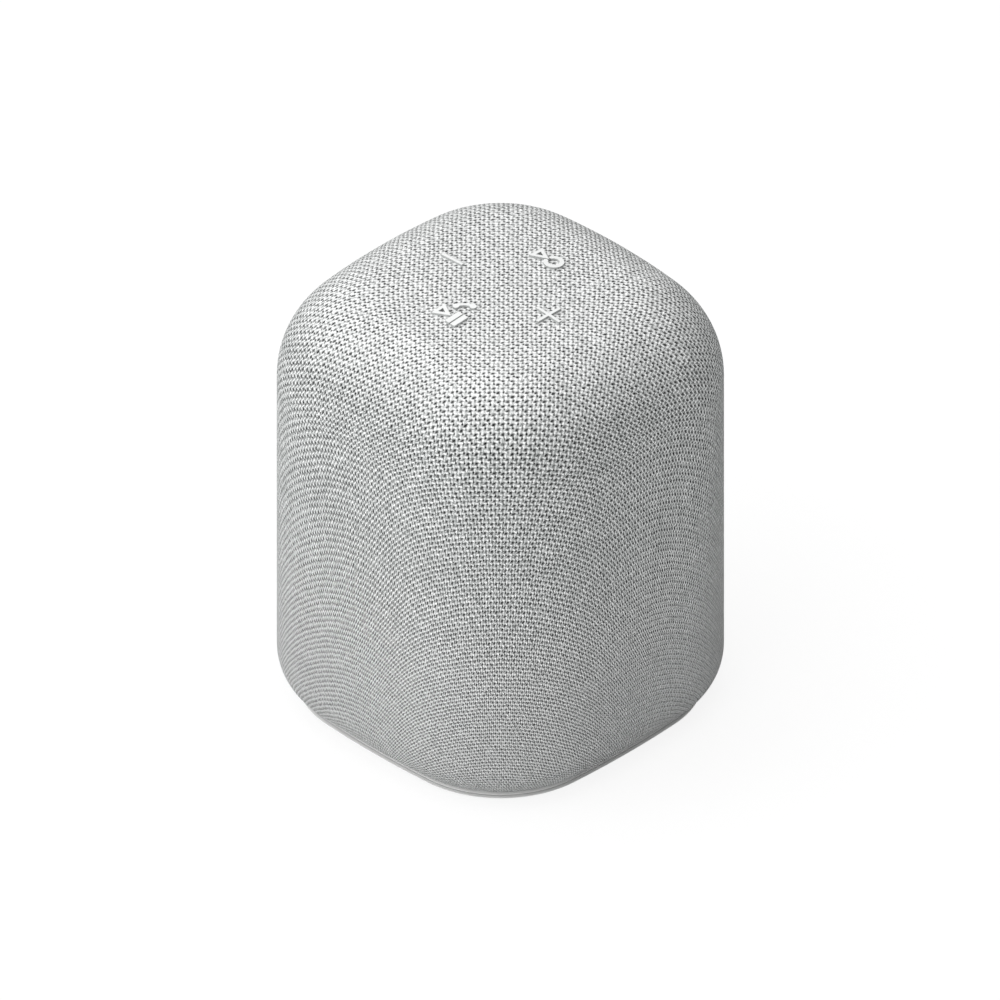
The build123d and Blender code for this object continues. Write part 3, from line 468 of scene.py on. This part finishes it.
# Tones of the yarns and of their fibres
TONE_SPREAD = (0.25, 0.75)
YARN_TONE = (-0.23, 0.23)
TONE_ALONG = 0.35
TONE_APART = 3.7
UPRIGHT_TONE_START = 9.0
FIBRE_SCALE = 2.6
FIBRE_DETAIL = 3.0
FIBRE_ROUGHNESS = 0.7
FIBRE_TONE = (-0.29, 0.29)
FIBRE_RISE = (-0.06, 0.06)

# Gloss of the cloth
CLOTH_ROUGHNESS = (0.78, 0.98)
CLOTH_SHEEN = 0.25
CLOTH_SHEEN_ROUGHNESS = 0.3
CLOTH_SPECULAR = 0.1

# The weave changes over the rounded top edge and again towards the foot. The flank amounts and the side
# shade are painted shade, deeper on the walls, and the paling towards the foot is painted light
TOP_HEIGHT = 0.1085
SIDE_HEIGHT = 0.096
MID_HEIGHT = 0.064
FOOT_HEIGHT = 0.014
TOP_FLANK = 0.31
SIDE_FLANK = 0.95
FOOT_FLANK = 1.5
TOP_FLANK_POWER = 0.5
SIDE_FLANK_POWER = 1.2
SIDE_RELIEF = 1.4
FOOT_RELIEF = 1.5
SIDE_SHADE = 0.31
FOOT_PAINTED_LIGHT = 0.62
FOOT_GAPS = 1.5


def off_the_top(tree, top, side):
    """A value that changes over the rounded edge, where the cloth is drawn open and its painted shade
    deepens.
    """
    return stretch(tree, standing_height(tree), TOP_HEIGHT, SIDE_HEIGHT, top, side)


def towards_foot(tree, middle, foot):
    return stretch(tree, standing_height(tree), MID_HEIGHT, FOOT_HEIGHT, middle, foot)


def wandering(tree, source):
    """Yarn counts with the small shifts of real yarns."""
    counts = list(parts(tree, source))[:2]
    for scale, reach in DRIFTS:
        shift = tree.nodes.new("ShaderNodeSeparateColor")
        tree.links.new(noise(tree, source, scale).outputs["Color"], shift.inputs[0])
        counts = [
            calc(tree, "ADD", count, stretch(tree, shift.outputs[axis], 0, 1, -reach, reach))
            for axis, count in enumerate(counts)
        ]
    return counts


def yarn_set(tree, run, across, sign):
    """One set of yarns: a round section that rises and dips once in two crossings.

    Gives the height, the distance from the yarn's middle and the yarn's number.
    """
    number = calc(tree, "ROUND", across)
    turn = calc(tree, "COSINE", calc(tree, "MULTIPLY", number, math.pi))
    angle = calc(tree, "MULTIPLY", run, math.pi)
    sway = calc(tree, "MULTIPLY", calc(tree, "MULTIPLY", calc(tree, "SINE", angle), turn), YARN_SWAY)
    offset = calc(tree, "SUBTRACT", calc(tree, "SUBTRACT", across, number), sway)
    share = calc(tree, "DIVIDE", offset, YARN_HALF)
    level = calc(tree, "SUBTRACT", 1.0, calc(tree, "MULTIPLY", share, share))
    section = calc(tree, "SQRT", calc(tree, "MAXIMUM", level, 0.0))
    wave = calc(tree, "MULTIPLY", calc(tree, "COSINE", angle), turn)
    rise = calc(tree, "MULTIPLY", wave, sign * YARN_RISE)
    height = calc(tree, "ADD", rise, calc(tree, "MULTIPLY", section, YARN_ROUND))
    return height, calc(tree, "ABSOLUTE", offset), number


def swing(tree, value, low, high, offset=0.0):
    """A wave of one length in two yarns, from low to high."""
    angle = calc(tree, "MULTIPLY", calc(tree, "SUBTRACT", value, offset), math.pi)
    return stretch(tree, calc(tree, "COSINE", angle), -1, 1, low, high)


def spot(tree, wide, narrow, wide_power, narrow_power):
    """A soft spot that is longer one way than the other."""
    first = calc(tree, "POWER", wide, wide_power)
    second = calc(tree, "POWER", narrow, narrow_power)
    return calc(tree, "MULTIPLY", first, second)


def by_chance(tree, source, gap, scale, dark):
    """Gaps that are darker in some places than in others."""
    chance = noise(tree, source, scale, 1.0).outputs["Fac"]
    return calc(tree, "MULTIPLY", gap, stretch(tree, chance, *CHANCE_SPREAD, *dark))


def gap_mask(tree, source, column, row):
    """Long slanting gaps and small ones in turn."""
    total = calc(tree, "ADD", column, row)
    apart = calc(tree, "SUBTRACT", column, row)
    row_wave = calc(tree, "COSINE", calc(tree, "MULTIPLY", row, 2 * math.pi))
    between_rows = calc(tree, "POWER", stretch(tree, row_wave, 1, -1), LONG_GAP_ROWS)
    along = swing(tree, apart, 1, 0)
    across = swing(tree, total, 0, 1)
    slant = spot(tree, along, across, LONG_GAP_WIDE, LONG_GAP_NARROW)
    long_gap = calc(tree, "MULTIPLY", slant, between_rows)
    small_along = swing(tree, total, 1, 0)
    small_across = swing(tree, apart, 0, 1, SMALL_GAP_SHIFT)
    small_gap = spot(tree, small_along, small_across, SMALL_GAP_POWER, SMALL_GAP_POWER)
    long_dark = by_chance(tree, source, long_gap, LONG_GAP_SCALE, LONG_GAP_DARK)
    small_dark = by_chance(tree, source, small_gap, SMALL_GAP_SCALE, SMALL_GAP_DARK)
    both_dark = calc(tree, "ADD", long_dark, small_dark)
    total_dark = calc(tree, "MULTIPLY", both_dark, towards_foot(tree, 1.0, FOOT_GAPS))
    return calc(tree, "MINIMUM", total_dark, 1.0)


def yarn_tone(tree, column, row, column_number, row_number, level_up):
    """Each yarn has its own tone, which drifts along it."""
    along = calc(tree, "MULTIPLY", column, TONE_ALONG)
    level_place = join(tree, along, calc(tree, "MULTIPLY", row_number, TONE_APART))
    apart = calc(tree, "MULTIPLY", column_number, TONE_APART)
    upright_place = join(tree, apart, calc(tree, "MULTIPLY", row, TONE_ALONG), UPRIGHT_TONE_START)
    level_tone = noise(tree, level_place, 1.0, 1.0).outputs["Fac"]
    upright_tone = noise(tree, upright_place, 1.0, 1.0).outputs["Fac"]
    tone = pick(tree, level_up, upright_tone, level_tone)
    return stretch(tree, tone, *TONE_SPREAD, *YARN_TONE)


def yarn_flank_shade(tree, offset):
    """Painted shade down the flanks of a yarn, deeper on the walls and deepest at the foot."""
    out = calc(tree, "MINIMUM", calc(tree, "MULTIPLY", offset, 2.0), 1.0)
    flank = calc(tree, "POWER", out, off_the_top(tree, TOP_FLANK_POWER, SIDE_FLANK_POWER))
    wall_depth = off_the_top(tree, TOP_FLANK, SIDE_FLANK)
    depth = calc(tree, "MULTIPLY", wall_depth, towards_foot(tree, 1.0, FOOT_FLANK))
    return calc(tree, "MULTIPLY", flank, depth)


def yarn_shade(tree, tone, fibre, flank):
    """0 for the light yarn colour and 1 for the dark one: the yarn's own tone and specks, with painted shade
    on the flanks and walls and painted light towards the foot.
    """
    speck = stretch(tree, fibre, *TONE_SPREAD, *FIBRE_TONE)
    shade = calc(tree, "ADD", calc(tree, "ADD", tone, speck), flank)
    # Painted shade, darker on the walls than on the top
    shade = calc(tree, "ADD", shade, off_the_top(tree, 0.0, SIDE_SHADE))
    # Painted light, paler towards the foot
    return calc(tree, "SUBTRACT", shade, towards_foot(tree, 0.0, FOOT_PAINTED_LIGHT))


def weave_height(tree, height, dark, fibre):
    sunk = calc(tree, "SUBTRACT", height, calc(tree, "MULTIPLY", dark, GAP_SINK))
    rough = calc(tree, "ADD", sunk, stretch(tree, fibre, 0, 1, *FIBRE_RISE))
    wall_gain = off_the_top(tree, 1.0, SIDE_RELIEF)
    gain = calc(tree, "MULTIPLY", wall_gain, towards_foot(tree, 1.0, FOOT_RELIEF))
    return calc(tree, "MULTIPLY", rough, gain)


def cloth_material():
    material, tree, shader = new_material("cloth_weave")
    weave = tree.nodes.new("ShaderNodeUVMap")
    weave.uv_map = "weave"
    source = weave.outputs[0]
    column, row = wandering(tree, source)
    level, level_offset, row_number = yarn_set(tree, column, row, 1)
    upright, upright_offset, column_number = yarn_set(tree, row, column, -1)
    level_up = calc(tree, "GREATER_THAN", level, upright)
    flank = yarn_flank_shade(tree, pick(tree, level_up, upright_offset, level_offset))
    tone = yarn_tone(tree, column, row, column_number, row_number, level_up)
    fibre = noise(tree, source, FIBRE_SCALE, FIBRE_DETAIL, FIBRE_ROUGHNESS).outputs["Fac"]
    yarn = blend(tree, yarn_shade(tree, tone, fibre, flank), YARN_LIGHT, YARN_DARK_AND_SHADE)
    dark = gap_mask(tree, source, column, row)
    # The gaps darkened with painted shade
    tree.links.new(blend(tree, dark, yarn, GAP_PAINTED_SHADE), shader.inputs["Base Color"])
    tree.links.new(stretch(tree, fibre, 0, 1, *CLOTH_ROUGHNESS), shader.inputs["Roughness"])
    shader.inputs["Sheen Weight"].default_value = CLOTH_SHEEN
    shader.inputs["Sheen Roughness"].default_value = CLOTH_SHEEN_ROUGHNESS
    shader.inputs["Specular IOR Level"].default_value = CLOTH_SPECULAR
    height = calc(tree, "MAXIMUM", level, upright)
    relief(tree, shader, weave_height(tree, height, dark, fibre), WEAVE_DEPTH)
    return material


# Plastics, metals and the rest: a tone that drifts, a fine grain and a little relief

GRAIN = 1800.0
GRAIN_DETAIL = 4.0
GRAIN_ROUGHNESS = 0.6
GRAIN_SPREAD = (0.2, 0.8)
GRAIN_DEPTH = 0.00002
BROAD_RATIO = 40
BROAD_SPREAD = (0.7, 1.3)
GLOSS_SWING = 0.06
BAND_ROUGHNESS = 0.45
SYMBOL_ROUGHNESS = 0.48
# How steep a symbol's wall is where its painted shade comes in, and where it is full
SYMBOL_SHADE_TURN = (0.85, 0.25)


def fine_grain(tree, place, grain=GRAIN):
    return noise(tree, place, grain, GRAIN_DETAIL, GRAIN_ROUGHNESS).outputs["Fac"]


def grain_surface(tree, shader, fine, roughness, depth=GRAIN_DEPTH):
    """Gloss that changes with the grain, and the grain's relief."""
    gloss = stretch(tree, fine, *GRAIN_SPREAD, roughness - GLOSS_SWING, roughness + GLOSS_SWING)
    tree.links.new(gloss, shader.inputs["Roughness"])
    relief(tree, shader, fine, depth)


def grain_material(name, light, dark, roughness, grain=GRAIN, depth=GRAIN_DEPTH, metal=0.0, drawn=(1, 1, 1)):
    material, tree, shader = new_material(name)
    place = own_place(tree, drawn)
    fine = fine_grain(tree, place, grain)
    broad = noise(tree, place, grain / BROAD_RATIO).outputs["Fac"]
    share = stretch(tree, calc(tree, "ADD", fine, broad), *BROAD_SPREAD)
    tree.links.new(blend(tree, share, light, dark), shader.inputs["Base Color"])
    shader.inputs["Metallic"].default_value = metal
    grain_surface(tree, shader, fine, roughness, depth)
    return material


def band_material(name, light, dark, lines):
    """A band of the base, with painted shade where it meets its neighbours.

    Each line is the height at which the shade starts and the height at which it is full.
    """
    material, tree, shader = new_material(name)
    fine = fine_grain(tree, own_place(tree))
    colour = blend(tree, fine, light, dark)
    for start, full in lines:
        shade = stretch(tree, standing_height(tree), start, full)
        colour = blend(tree, shade, colour, JOINT_SHADE)
    tree.links.new(colour, shader.inputs["Base Color"])
    grain_surface(tree, shader, fine, BAND_ROUGHNESS)
    return material


def symbol_material():
    """Moulded symbols, pale on top, with painted shade down their sides."""
    material, tree, shader = new_material("symbol_plastic")
    fine = fine_grain(tree, own_place(tree))
    surface = tree.nodes.new("ShaderNodeNewGeometry")
    upward = parts(tree, surface.outputs["True Normal"])[2]
    top = blend(tree, fine, WHITE, WHITE_SHADE)
    # Painted shade on the side walls, from how steep they are
    side = stretch(tree, upward, *SYMBOL_SHADE_TURN)
    tree.links.new(blend(tree, side, top, SYMBOL_PAINTED_SHADE), shader.inputs["Base Color"])
    grain_surface(tree, shader, fine, SYMBOL_ROUGHNESS)
    return material


BAND_GRAIN = 2500.0
BAND_DETAIL = 3.0
BAND_GLOSS_SWING = 0.1
BAND_DEPTH_SHARE = 0.25


def banded_material(name, light, dark, roughness, pitch, axis, metal=0.0):
    """Fine even bands across an axis, as on wound wire, a pleated sheet or a corrugated cloth."""
    material, tree, shader = new_material(name)
    place = own_place(tree)
    angle = calc(tree, "MULTIPLY", parts(tree, place)[axis], 2 * math.pi / pitch)
    band = stretch(tree, calc(tree, "SINE", angle), -1, 1)
    grain = noise(tree, place, BAND_GRAIN, BAND_DETAIL).outputs["Fac"]
    share = calc(tree, "MULTIPLY", band, grain)
    tree.links.new(blend(tree, share, light, dark), shader.inputs["Base Color"])
    gloss = stretch(tree, grain, 0, 1, roughness - BAND_GLOSS_SWING, roughness + BAND_GLOSS_SWING)
    tree.links.new(gloss, shader.inputs["Roughness"])
    shader.inputs["Metallic"].default_value = metal
    relief(tree, shader, band, pitch * BAND_DEPTH_SHARE)
    return material


BOARD_DARK = (0.010, 0.085, 0.040)
BOARD_GREEN = (0.012, 0.120, 0.055)
BOARD_TRACK = (0.020, 0.190, 0.085)
BOARD_PAD = (0.55, 0.50, 0.36)
BOARD_CELLS = 420.0
TRACK_WIDTH = 0.03
PAD_SCALE = 900.0
PAD_EDGE = (0.66, 0.68)
BOARD_ROUGHNESS = (0.30, 0.50)
BOARD_DEPTH = 0.00003


def board_material():
    """Green solder mask with fine tracks and pale pads."""
    material, tree, shader = new_material("board_green")
    place = own_place(tree)
    cells = tree.nodes.new("ShaderNodeTexBrick")
    cells.inputs["Scale"].default_value = BOARD_CELLS
    cells.inputs["Mortar Size"].default_value = TRACK_WIDTH
    for socket, colour in (("Color1", BOARD_DARK), ("Color2", BOARD_GREEN), ("Mortar", BOARD_TRACK)):
        feed(tree, cells.inputs[socket], colour)
    tree.links.new(place, cells.inputs["Vector"])
    spread = noise(tree, place, PAD_SCALE, 1.0).outputs["Fac"]
    pad = stretch(tree, spread, *PAD_EDGE)
    tree.links.new(blend(tree, pad, cells.outputs["Color"], BOARD_PAD), shader.inputs["Base Color"])
    tree.links.new(stretch(tree, spread, 0, 1, *BOARD_ROUGHNESS), shader.inputs["Roughness"])
    relief(tree, shader, cells.outputs["Fac"], BOARD_DEPTH)
    return material


# Finishes by name

WHITE = (0.78, 0.79, 0.785)
WHITE_SHADE = (0.74, 0.75, 0.745)
# Painted shade on the symbols' side walls
SYMBOL_PAINTED_SHADE = (0.36, 0.37, 0.367)
# Painted shade where the base bands meet the cloth and each other, and the heights where it starts and is
# full
JOINT_SHADE = (0.42, 0.42, 0.42)
HEM_LINES = ((0.00148, 0.00155), (0.00122, 0.00112))
BASE_LINES = ((0.00099, 0.00108),)
materials = {
    "white_plastic": grain_material("white_plastic", WHITE, WHITE_SHADE, 0.48),
    "symbol_plastic": symbol_material(),
    "hem_band": band_material("hem_band", (0.80, 0.80, 0.795), (0.74, 0.74, 0.735), HEM_LINES),
    "base_band": band_material("base_band", (0.62, 0.62, 0.615), (0.56, 0.56, 0.555), BASE_LINES),
    "foot_rubber": grain_material("foot_rubber", (0.20, 0.205, 0.205), (0.15, 0.155, 0.155), 0.85),
    "screw_steel": grain_material("screw_steel", (0.55, 0.55, 0.56), (0.42, 0.42, 0.43), 0.32, metal=1.0),
    "battery_wrap": grain_material("battery_wrap", (0.06, 0.13, 0.28), (0.045, 0.10, 0.22), 0.4),
    "bracket_steel": grain_material(
        "bracket_steel", (0.60, 0.60, 0.61), (0.48, 0.48, 0.49), 0.38, metal=1.0, drawn=(0.05, 1, 1)
    ),
    "black_plastic": grain_material("black_plastic", (0.030, 0.030, 0.032), (0.020, 0.020, 0.021), 0.55),
    "soft_rubber": grain_material("soft_rubber", (0.022, 0.022, 0.023), (0.014, 0.014, 0.015), 0.75),
    "motor_steel": grain_material("motor_steel", (0.50, 0.50, 0.51), (0.38, 0.38, 0.39), 0.35, metal=1.0),
    "magnet": grain_material("magnet", (0.07, 0.07, 0.075), (0.045, 0.045, 0.05), 0.6, grain=3000.0),
    "cone_paper": grain_material(
        "cone_paper", (0.050, 0.049, 0.047), (0.028, 0.027, 0.026), 0.9, grain=1200.0, depth=0.00005
    ),
    "coil_copper": banded_material(
        "coil_copper", (0.62, 0.28, 0.13), (0.30, 0.12, 0.05), 0.35, pitch=0.0003, axis=1, metal=1.0
    ),
    "spider_cloth": banded_material(
        "spider_cloth", (0.50, 0.36, 0.17), (0.30, 0.20, 0.09), 0.85, pitch=0.0005, axis=0
    ),
    "dome_cloth": grain_material(
        "dome_cloth", (0.060, 0.058, 0.055), (0.035, 0.034, 0.032), 0.8, grain=2600.0, depth=0.00004
    ),
    "radiator_metal": grain_material(
        "radiator_metal", (0.52, 0.53, 0.54), (0.42, 0.43, 0.44), 0.3, metal=1.0, drawn=(1, 1, 0.05)
    ),
    "board_green": board_material(),
    "ribbon_film": banded_material(
        "ribbon_film", (0.72, 0.70, 0.64), (0.46, 0.43, 0.36), 0.4, pitch=0.001, axis=0
    ),
    "microphone_can": grain_material(
        "microphone_can", (0.70, 0.62, 0.42), (0.56, 0.49, 0.32), 0.3, metal=1.0
    ),
    "panel_plastic": grain_material("panel_plastic", (0.66, 0.675, 0.67), (0.58, 0.595, 0.59), 0.5),
    "button_plastic": grain_material("button_plastic", (0.72, 0.735, 0.73), (0.65, 0.665, 0.66), 0.45),
}
own_finish = {
    "hem_ring": "hem_band",
    "bottom_cover": "base_band",
    "key_volume_down": "symbol_plastic",
    "key_volume_up": "symbol_plastic",
    "key_play_call": "symbol_plastic",
    "key_link": "symbol_plastic",
}


def dress(piece, finish):
    slots = piece.data.materials
    slots.clear()
    slots.append(materials[finish])


def finish_of(name):
    """The finish of a CAD node: its own here, or the one its record names."""
    if name in own_finish:
        return own_finish[name]
    rows = frame["record"]["subparts"]
    return next(row["material_slot"] for row in rows if row["node"] == name)


for name, node in frame["nodes"].items():
    if name != "fabric_cover":
        dress(node, finish_of(name))


# The cloth cover, stretched over the shell
cloth = make_cloth()
cloth.data.materials.append(cloth_material())
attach(cloth, "speaker_body")
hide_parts("fabric_cover")


# Soft rings of the drivers, cut into short pieces

RING_SECTORS = 12
JOIN_REACH = 2e-6
SIDEWAYS = Vector((1, 0, 0))
BACKWARDS = Vector((0, 1, 0))
UPWARDS = Vector((0, 0, 1))


def cut_away(mesh, point, facing):
    """Keeps what lies on the facing side of a plane, and closes the cut."""
    everything = mesh.verts[:] + mesh.edges[:] + mesh.faces[:]
    cut = bmesh.ops.bisect_plane(
        mesh, geom=everything, dist=JOIN_REACH, plane_co=point, plane_no=facing, clear_inner=True
    )
    edges = [part for part in cut["geom_cut"] if isinstance(part, bmesh.types.BMEdge)]
    bmesh.ops.edgeloop_fill(mesh, edges=edges)


def ring_piece(node, name, planes):
    """What the planes leave of a ring, as an object of its own."""
    mesh = bmesh.new()
    mesh.from_mesh(node.data)
    bmesh.ops.remove_doubles(mesh, verts=mesh.verts[:], dist=JOIN_REACH)
    for point, facing in planes:
        cut_away(mesh, point, facing)
    bmesh.ops.remove_doubles(mesh, verts=mesh.verts[:], dist=JOIN_REACH)
    bmesh.ops.recalc_face_normals(mesh, faces=mesh.faces[:])
    data = bpy.data.meshes.new(name)
    mesh.to_mesh(data)
    mesh.free()
    piece = bpy.data.objects.new(name, data)
    bpy.context.scene.collection.objects.link(piece)
    return piece


def ring_cuts(middle, across, along, straight):
    """The planes round each short piece of a ring, the piece's centre and its outward direction."""
    width = 2 * math.pi / RING_SECTORS

    def towards(turn):
        return across * math.cos(turn) + along * math.sin(turn)

    for number in range(RING_SECTORS):
        turn = number * width
        upper = number < RING_SECTORS / 2
        centre = middle + along * (straight if upper else -straight)
        first = towards(turn + QUARTER_TURN)
        last = towards(turn + width - QUARTER_TURN)
        yield [(centre, first), (centre, last)], centre, towards(turn + width / 2)
    if straight:
        ends = [(middle + along * straight, -along), (middle - along * straight, along)]
        for out in (across, -across):
            yield ends + [(middle, out)], middle, out


def make_soft_ring(name, across):
    """A round ring, or an upright slot-shaped one, cut into short pieces."""
    node = frame["nodes"][name]
    low, high = (Vector(corner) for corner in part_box(name))
    middle = (low + high) / 2
    size = high - low
    straight = (size.z - size.dot(across)) / 2
    if straight < JOIN_REACH:
        straight = 0.0
    for number, (planes, centre, out) in enumerate(ring_cuts(middle, across, UPWARDS, straight)):
        piece = ring_piece(node, f"{name}_{number + 1}", planes)
        dress(piece, finish_of(name))
        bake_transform(piece)
        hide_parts(name)


make_soft_ring("woofer_spider", SIDEWAYS)
make_soft_ring("woofer_surround", SIDEWAYS)
make_soft_ring("tweeter_surround", SIDEWAYS)
make_soft_ring("radiator_surround_left", BACKWARDS)
make_soft_ring("radiator_surround_right", BACKWARDS)


# Stage: a pale floor that reads white, soft studio light and the photograph's view

FLOOR_SIZE = 3.0
FLOOR_BOUNCE = (0.95, 0.95, 0.95)
FLOOR_COLOUR = (0.98, 0.98, 0.98)
FLOOR_WHITE = 0.85
FLOOR_MOTTLE = 3.0
FLOOR_TINT = 1.01
FLOOR_ROUGHNESS = 0.9
SKY_BASE = 0.17
SKY_LEAN = (-0.52, -0.76, 1.42)
KEY_PLACE = (-0.55, -0.90, 0.80)
KEY_SIZE = 0.8
KEY_POWER = 1.6
FILL_PLACE = (0.35, -1.20, 0.08)
FILL_SIZE = 1.0
FILL_POWER = 9.0


def seen_directly(tree):
    """1 for rays from the camera, or seen in gloss or through glass."""
    path = tree.nodes.new("ShaderNodeLightPath")
    seen = calc(tree, "MAXIMUM", path.outputs["Is Camera Ray"], path.outputs["Is Glossy Ray"])
    return calc(tree, "MAXIMUM", seen, path.outputs["Is Transmission Ray"])


def floor_material():
    """A pale floor that reads nearly white and keeps the shadow."""
    material, tree, shader = new_material("floor_white")
    mottle = noise(tree, own_place(tree), FLOOR_MOTTLE).outputs["Fac"]
    tinted = tuple(part * FLOOR_TINT for part in FLOOR_COLOUR)
    seen = seen_directly(tree)
    plain = blend(tree, mottle, FLOOR_COLOUR, tinted)
    tree.links.new(blend(tree, seen, FLOOR_BOUNCE, plain), shader.inputs["Base Color"])
    shader.inputs["Roughness"].default_value = FLOOR_ROUGHNESS
    glow = tree.nodes.new("ShaderNodeEmission")
    glow.inputs["Strength"].default_value = 1.0
    mixed = tree.nodes.new("ShaderNodeMixShader")
    tree.links.new(calc(tree, "MULTIPLY", seen, FLOOR_WHITE), mixed.inputs[0])
    tree.links.new(shader.outputs[0], mixed.inputs[1])
    tree.links.new(glow.outputs[0], mixed.inputs[2])
    tree.links.new(mixed.outputs[0], tree.nodes["Material Output"].inputs[0])
    return material


def make_floor():
    half = FLOOR_SIZE / 2
    corners = [(-half, -half, 0), (half, -half, 0), (half, half, 0), (-half, half, 0)]
    floor = new_mesh("floor", np.array(corners), [(0, 1, 2, 3)])
    floor.data.materials.append(floor_material())


def make_world():
    """An even sky, brighter above and to the front left."""
    world = bpy.data.worlds.new("studio")
    bpy.context.scene.world = world
    world.use_nodes = True
    tree = world.node_tree
    back = tree.nodes["Background"]
    back.inputs["Color"].default_value = (1, 1, 1, 1)
    place = tree.nodes.new("ShaderNodeTexCoord")
    lean = tree.nodes.new("ShaderNodeVectorMath")
    lean.operation = "DOT_PRODUCT"
    lean.inputs[1].default_value = SKY_LEAN
    tree.links.new(place.outputs["Generated"], lean.inputs[0])
    sky = calc(tree, "ADD", calc(tree, "MAXIMUM", lean.outputs["Value"], 0.0), SKY_BASE)
    tree.links.new(calc(tree, "MAXIMUM", sky, seen_directly(tree)), back.inputs["Strength"])


def make_lamp(name, place, size, power):
    lamp = bpy.data.lights.new(name, "AREA")
    lamp.shape = "DISK"
    lamp.size = size
    lamp.energy = power
    holder = bpy.data.objects.new(name, lamp)
    holder.location = place
    aim = Vector((0, 0, BODY_HEIGHT / 2)) - Vector(place)
    holder.rotation_euler = aim.to_track_quat("-Z", "Y").to_euler()
    bpy.context.scene.collection.objects.link(holder)


VIEW_TURN = math.radians(45.0)
VIEW_RISE = math.radians(35.264)
VIEW_AIM = (-0.00006, -0.00006, 0.05097)
VIEW_SPAN = 0.22603
VIEW_DISTANCE = 1.0


def make_camera():
    camera = bpy.data.cameras.new("view")
    camera.type = "ORTHO"
    camera.ortho_scale = VIEW_SPAN
    holder = bpy.data.objects.new("view", camera)
    level = math.cos(VIEW_RISE)
    back = Vector((math.sin(VIEW_TURN) * level, -math.cos(VIEW_TURN) * level, math.sin(VIEW_RISE)))
    holder.location = Vector(VIEW_AIM) + back * VIEW_DISTANCE
    holder.rotation_euler = (-back).to_track_quat("-Z", "Y").to_euler()
    bpy.context.scene.collection.objects.link(holder)
    bpy.context.scene.camera = holder


make_floor()
make_world()
make_lamp("key", KEY_PLACE, KEY_SIZE, KEY_POWER)
make_lamp("fill", FILL_PLACE, FILL_SIZE, FILL_POWER)
make_camera()
bpy.context.scene.view_settings.view_transform = "Standard"
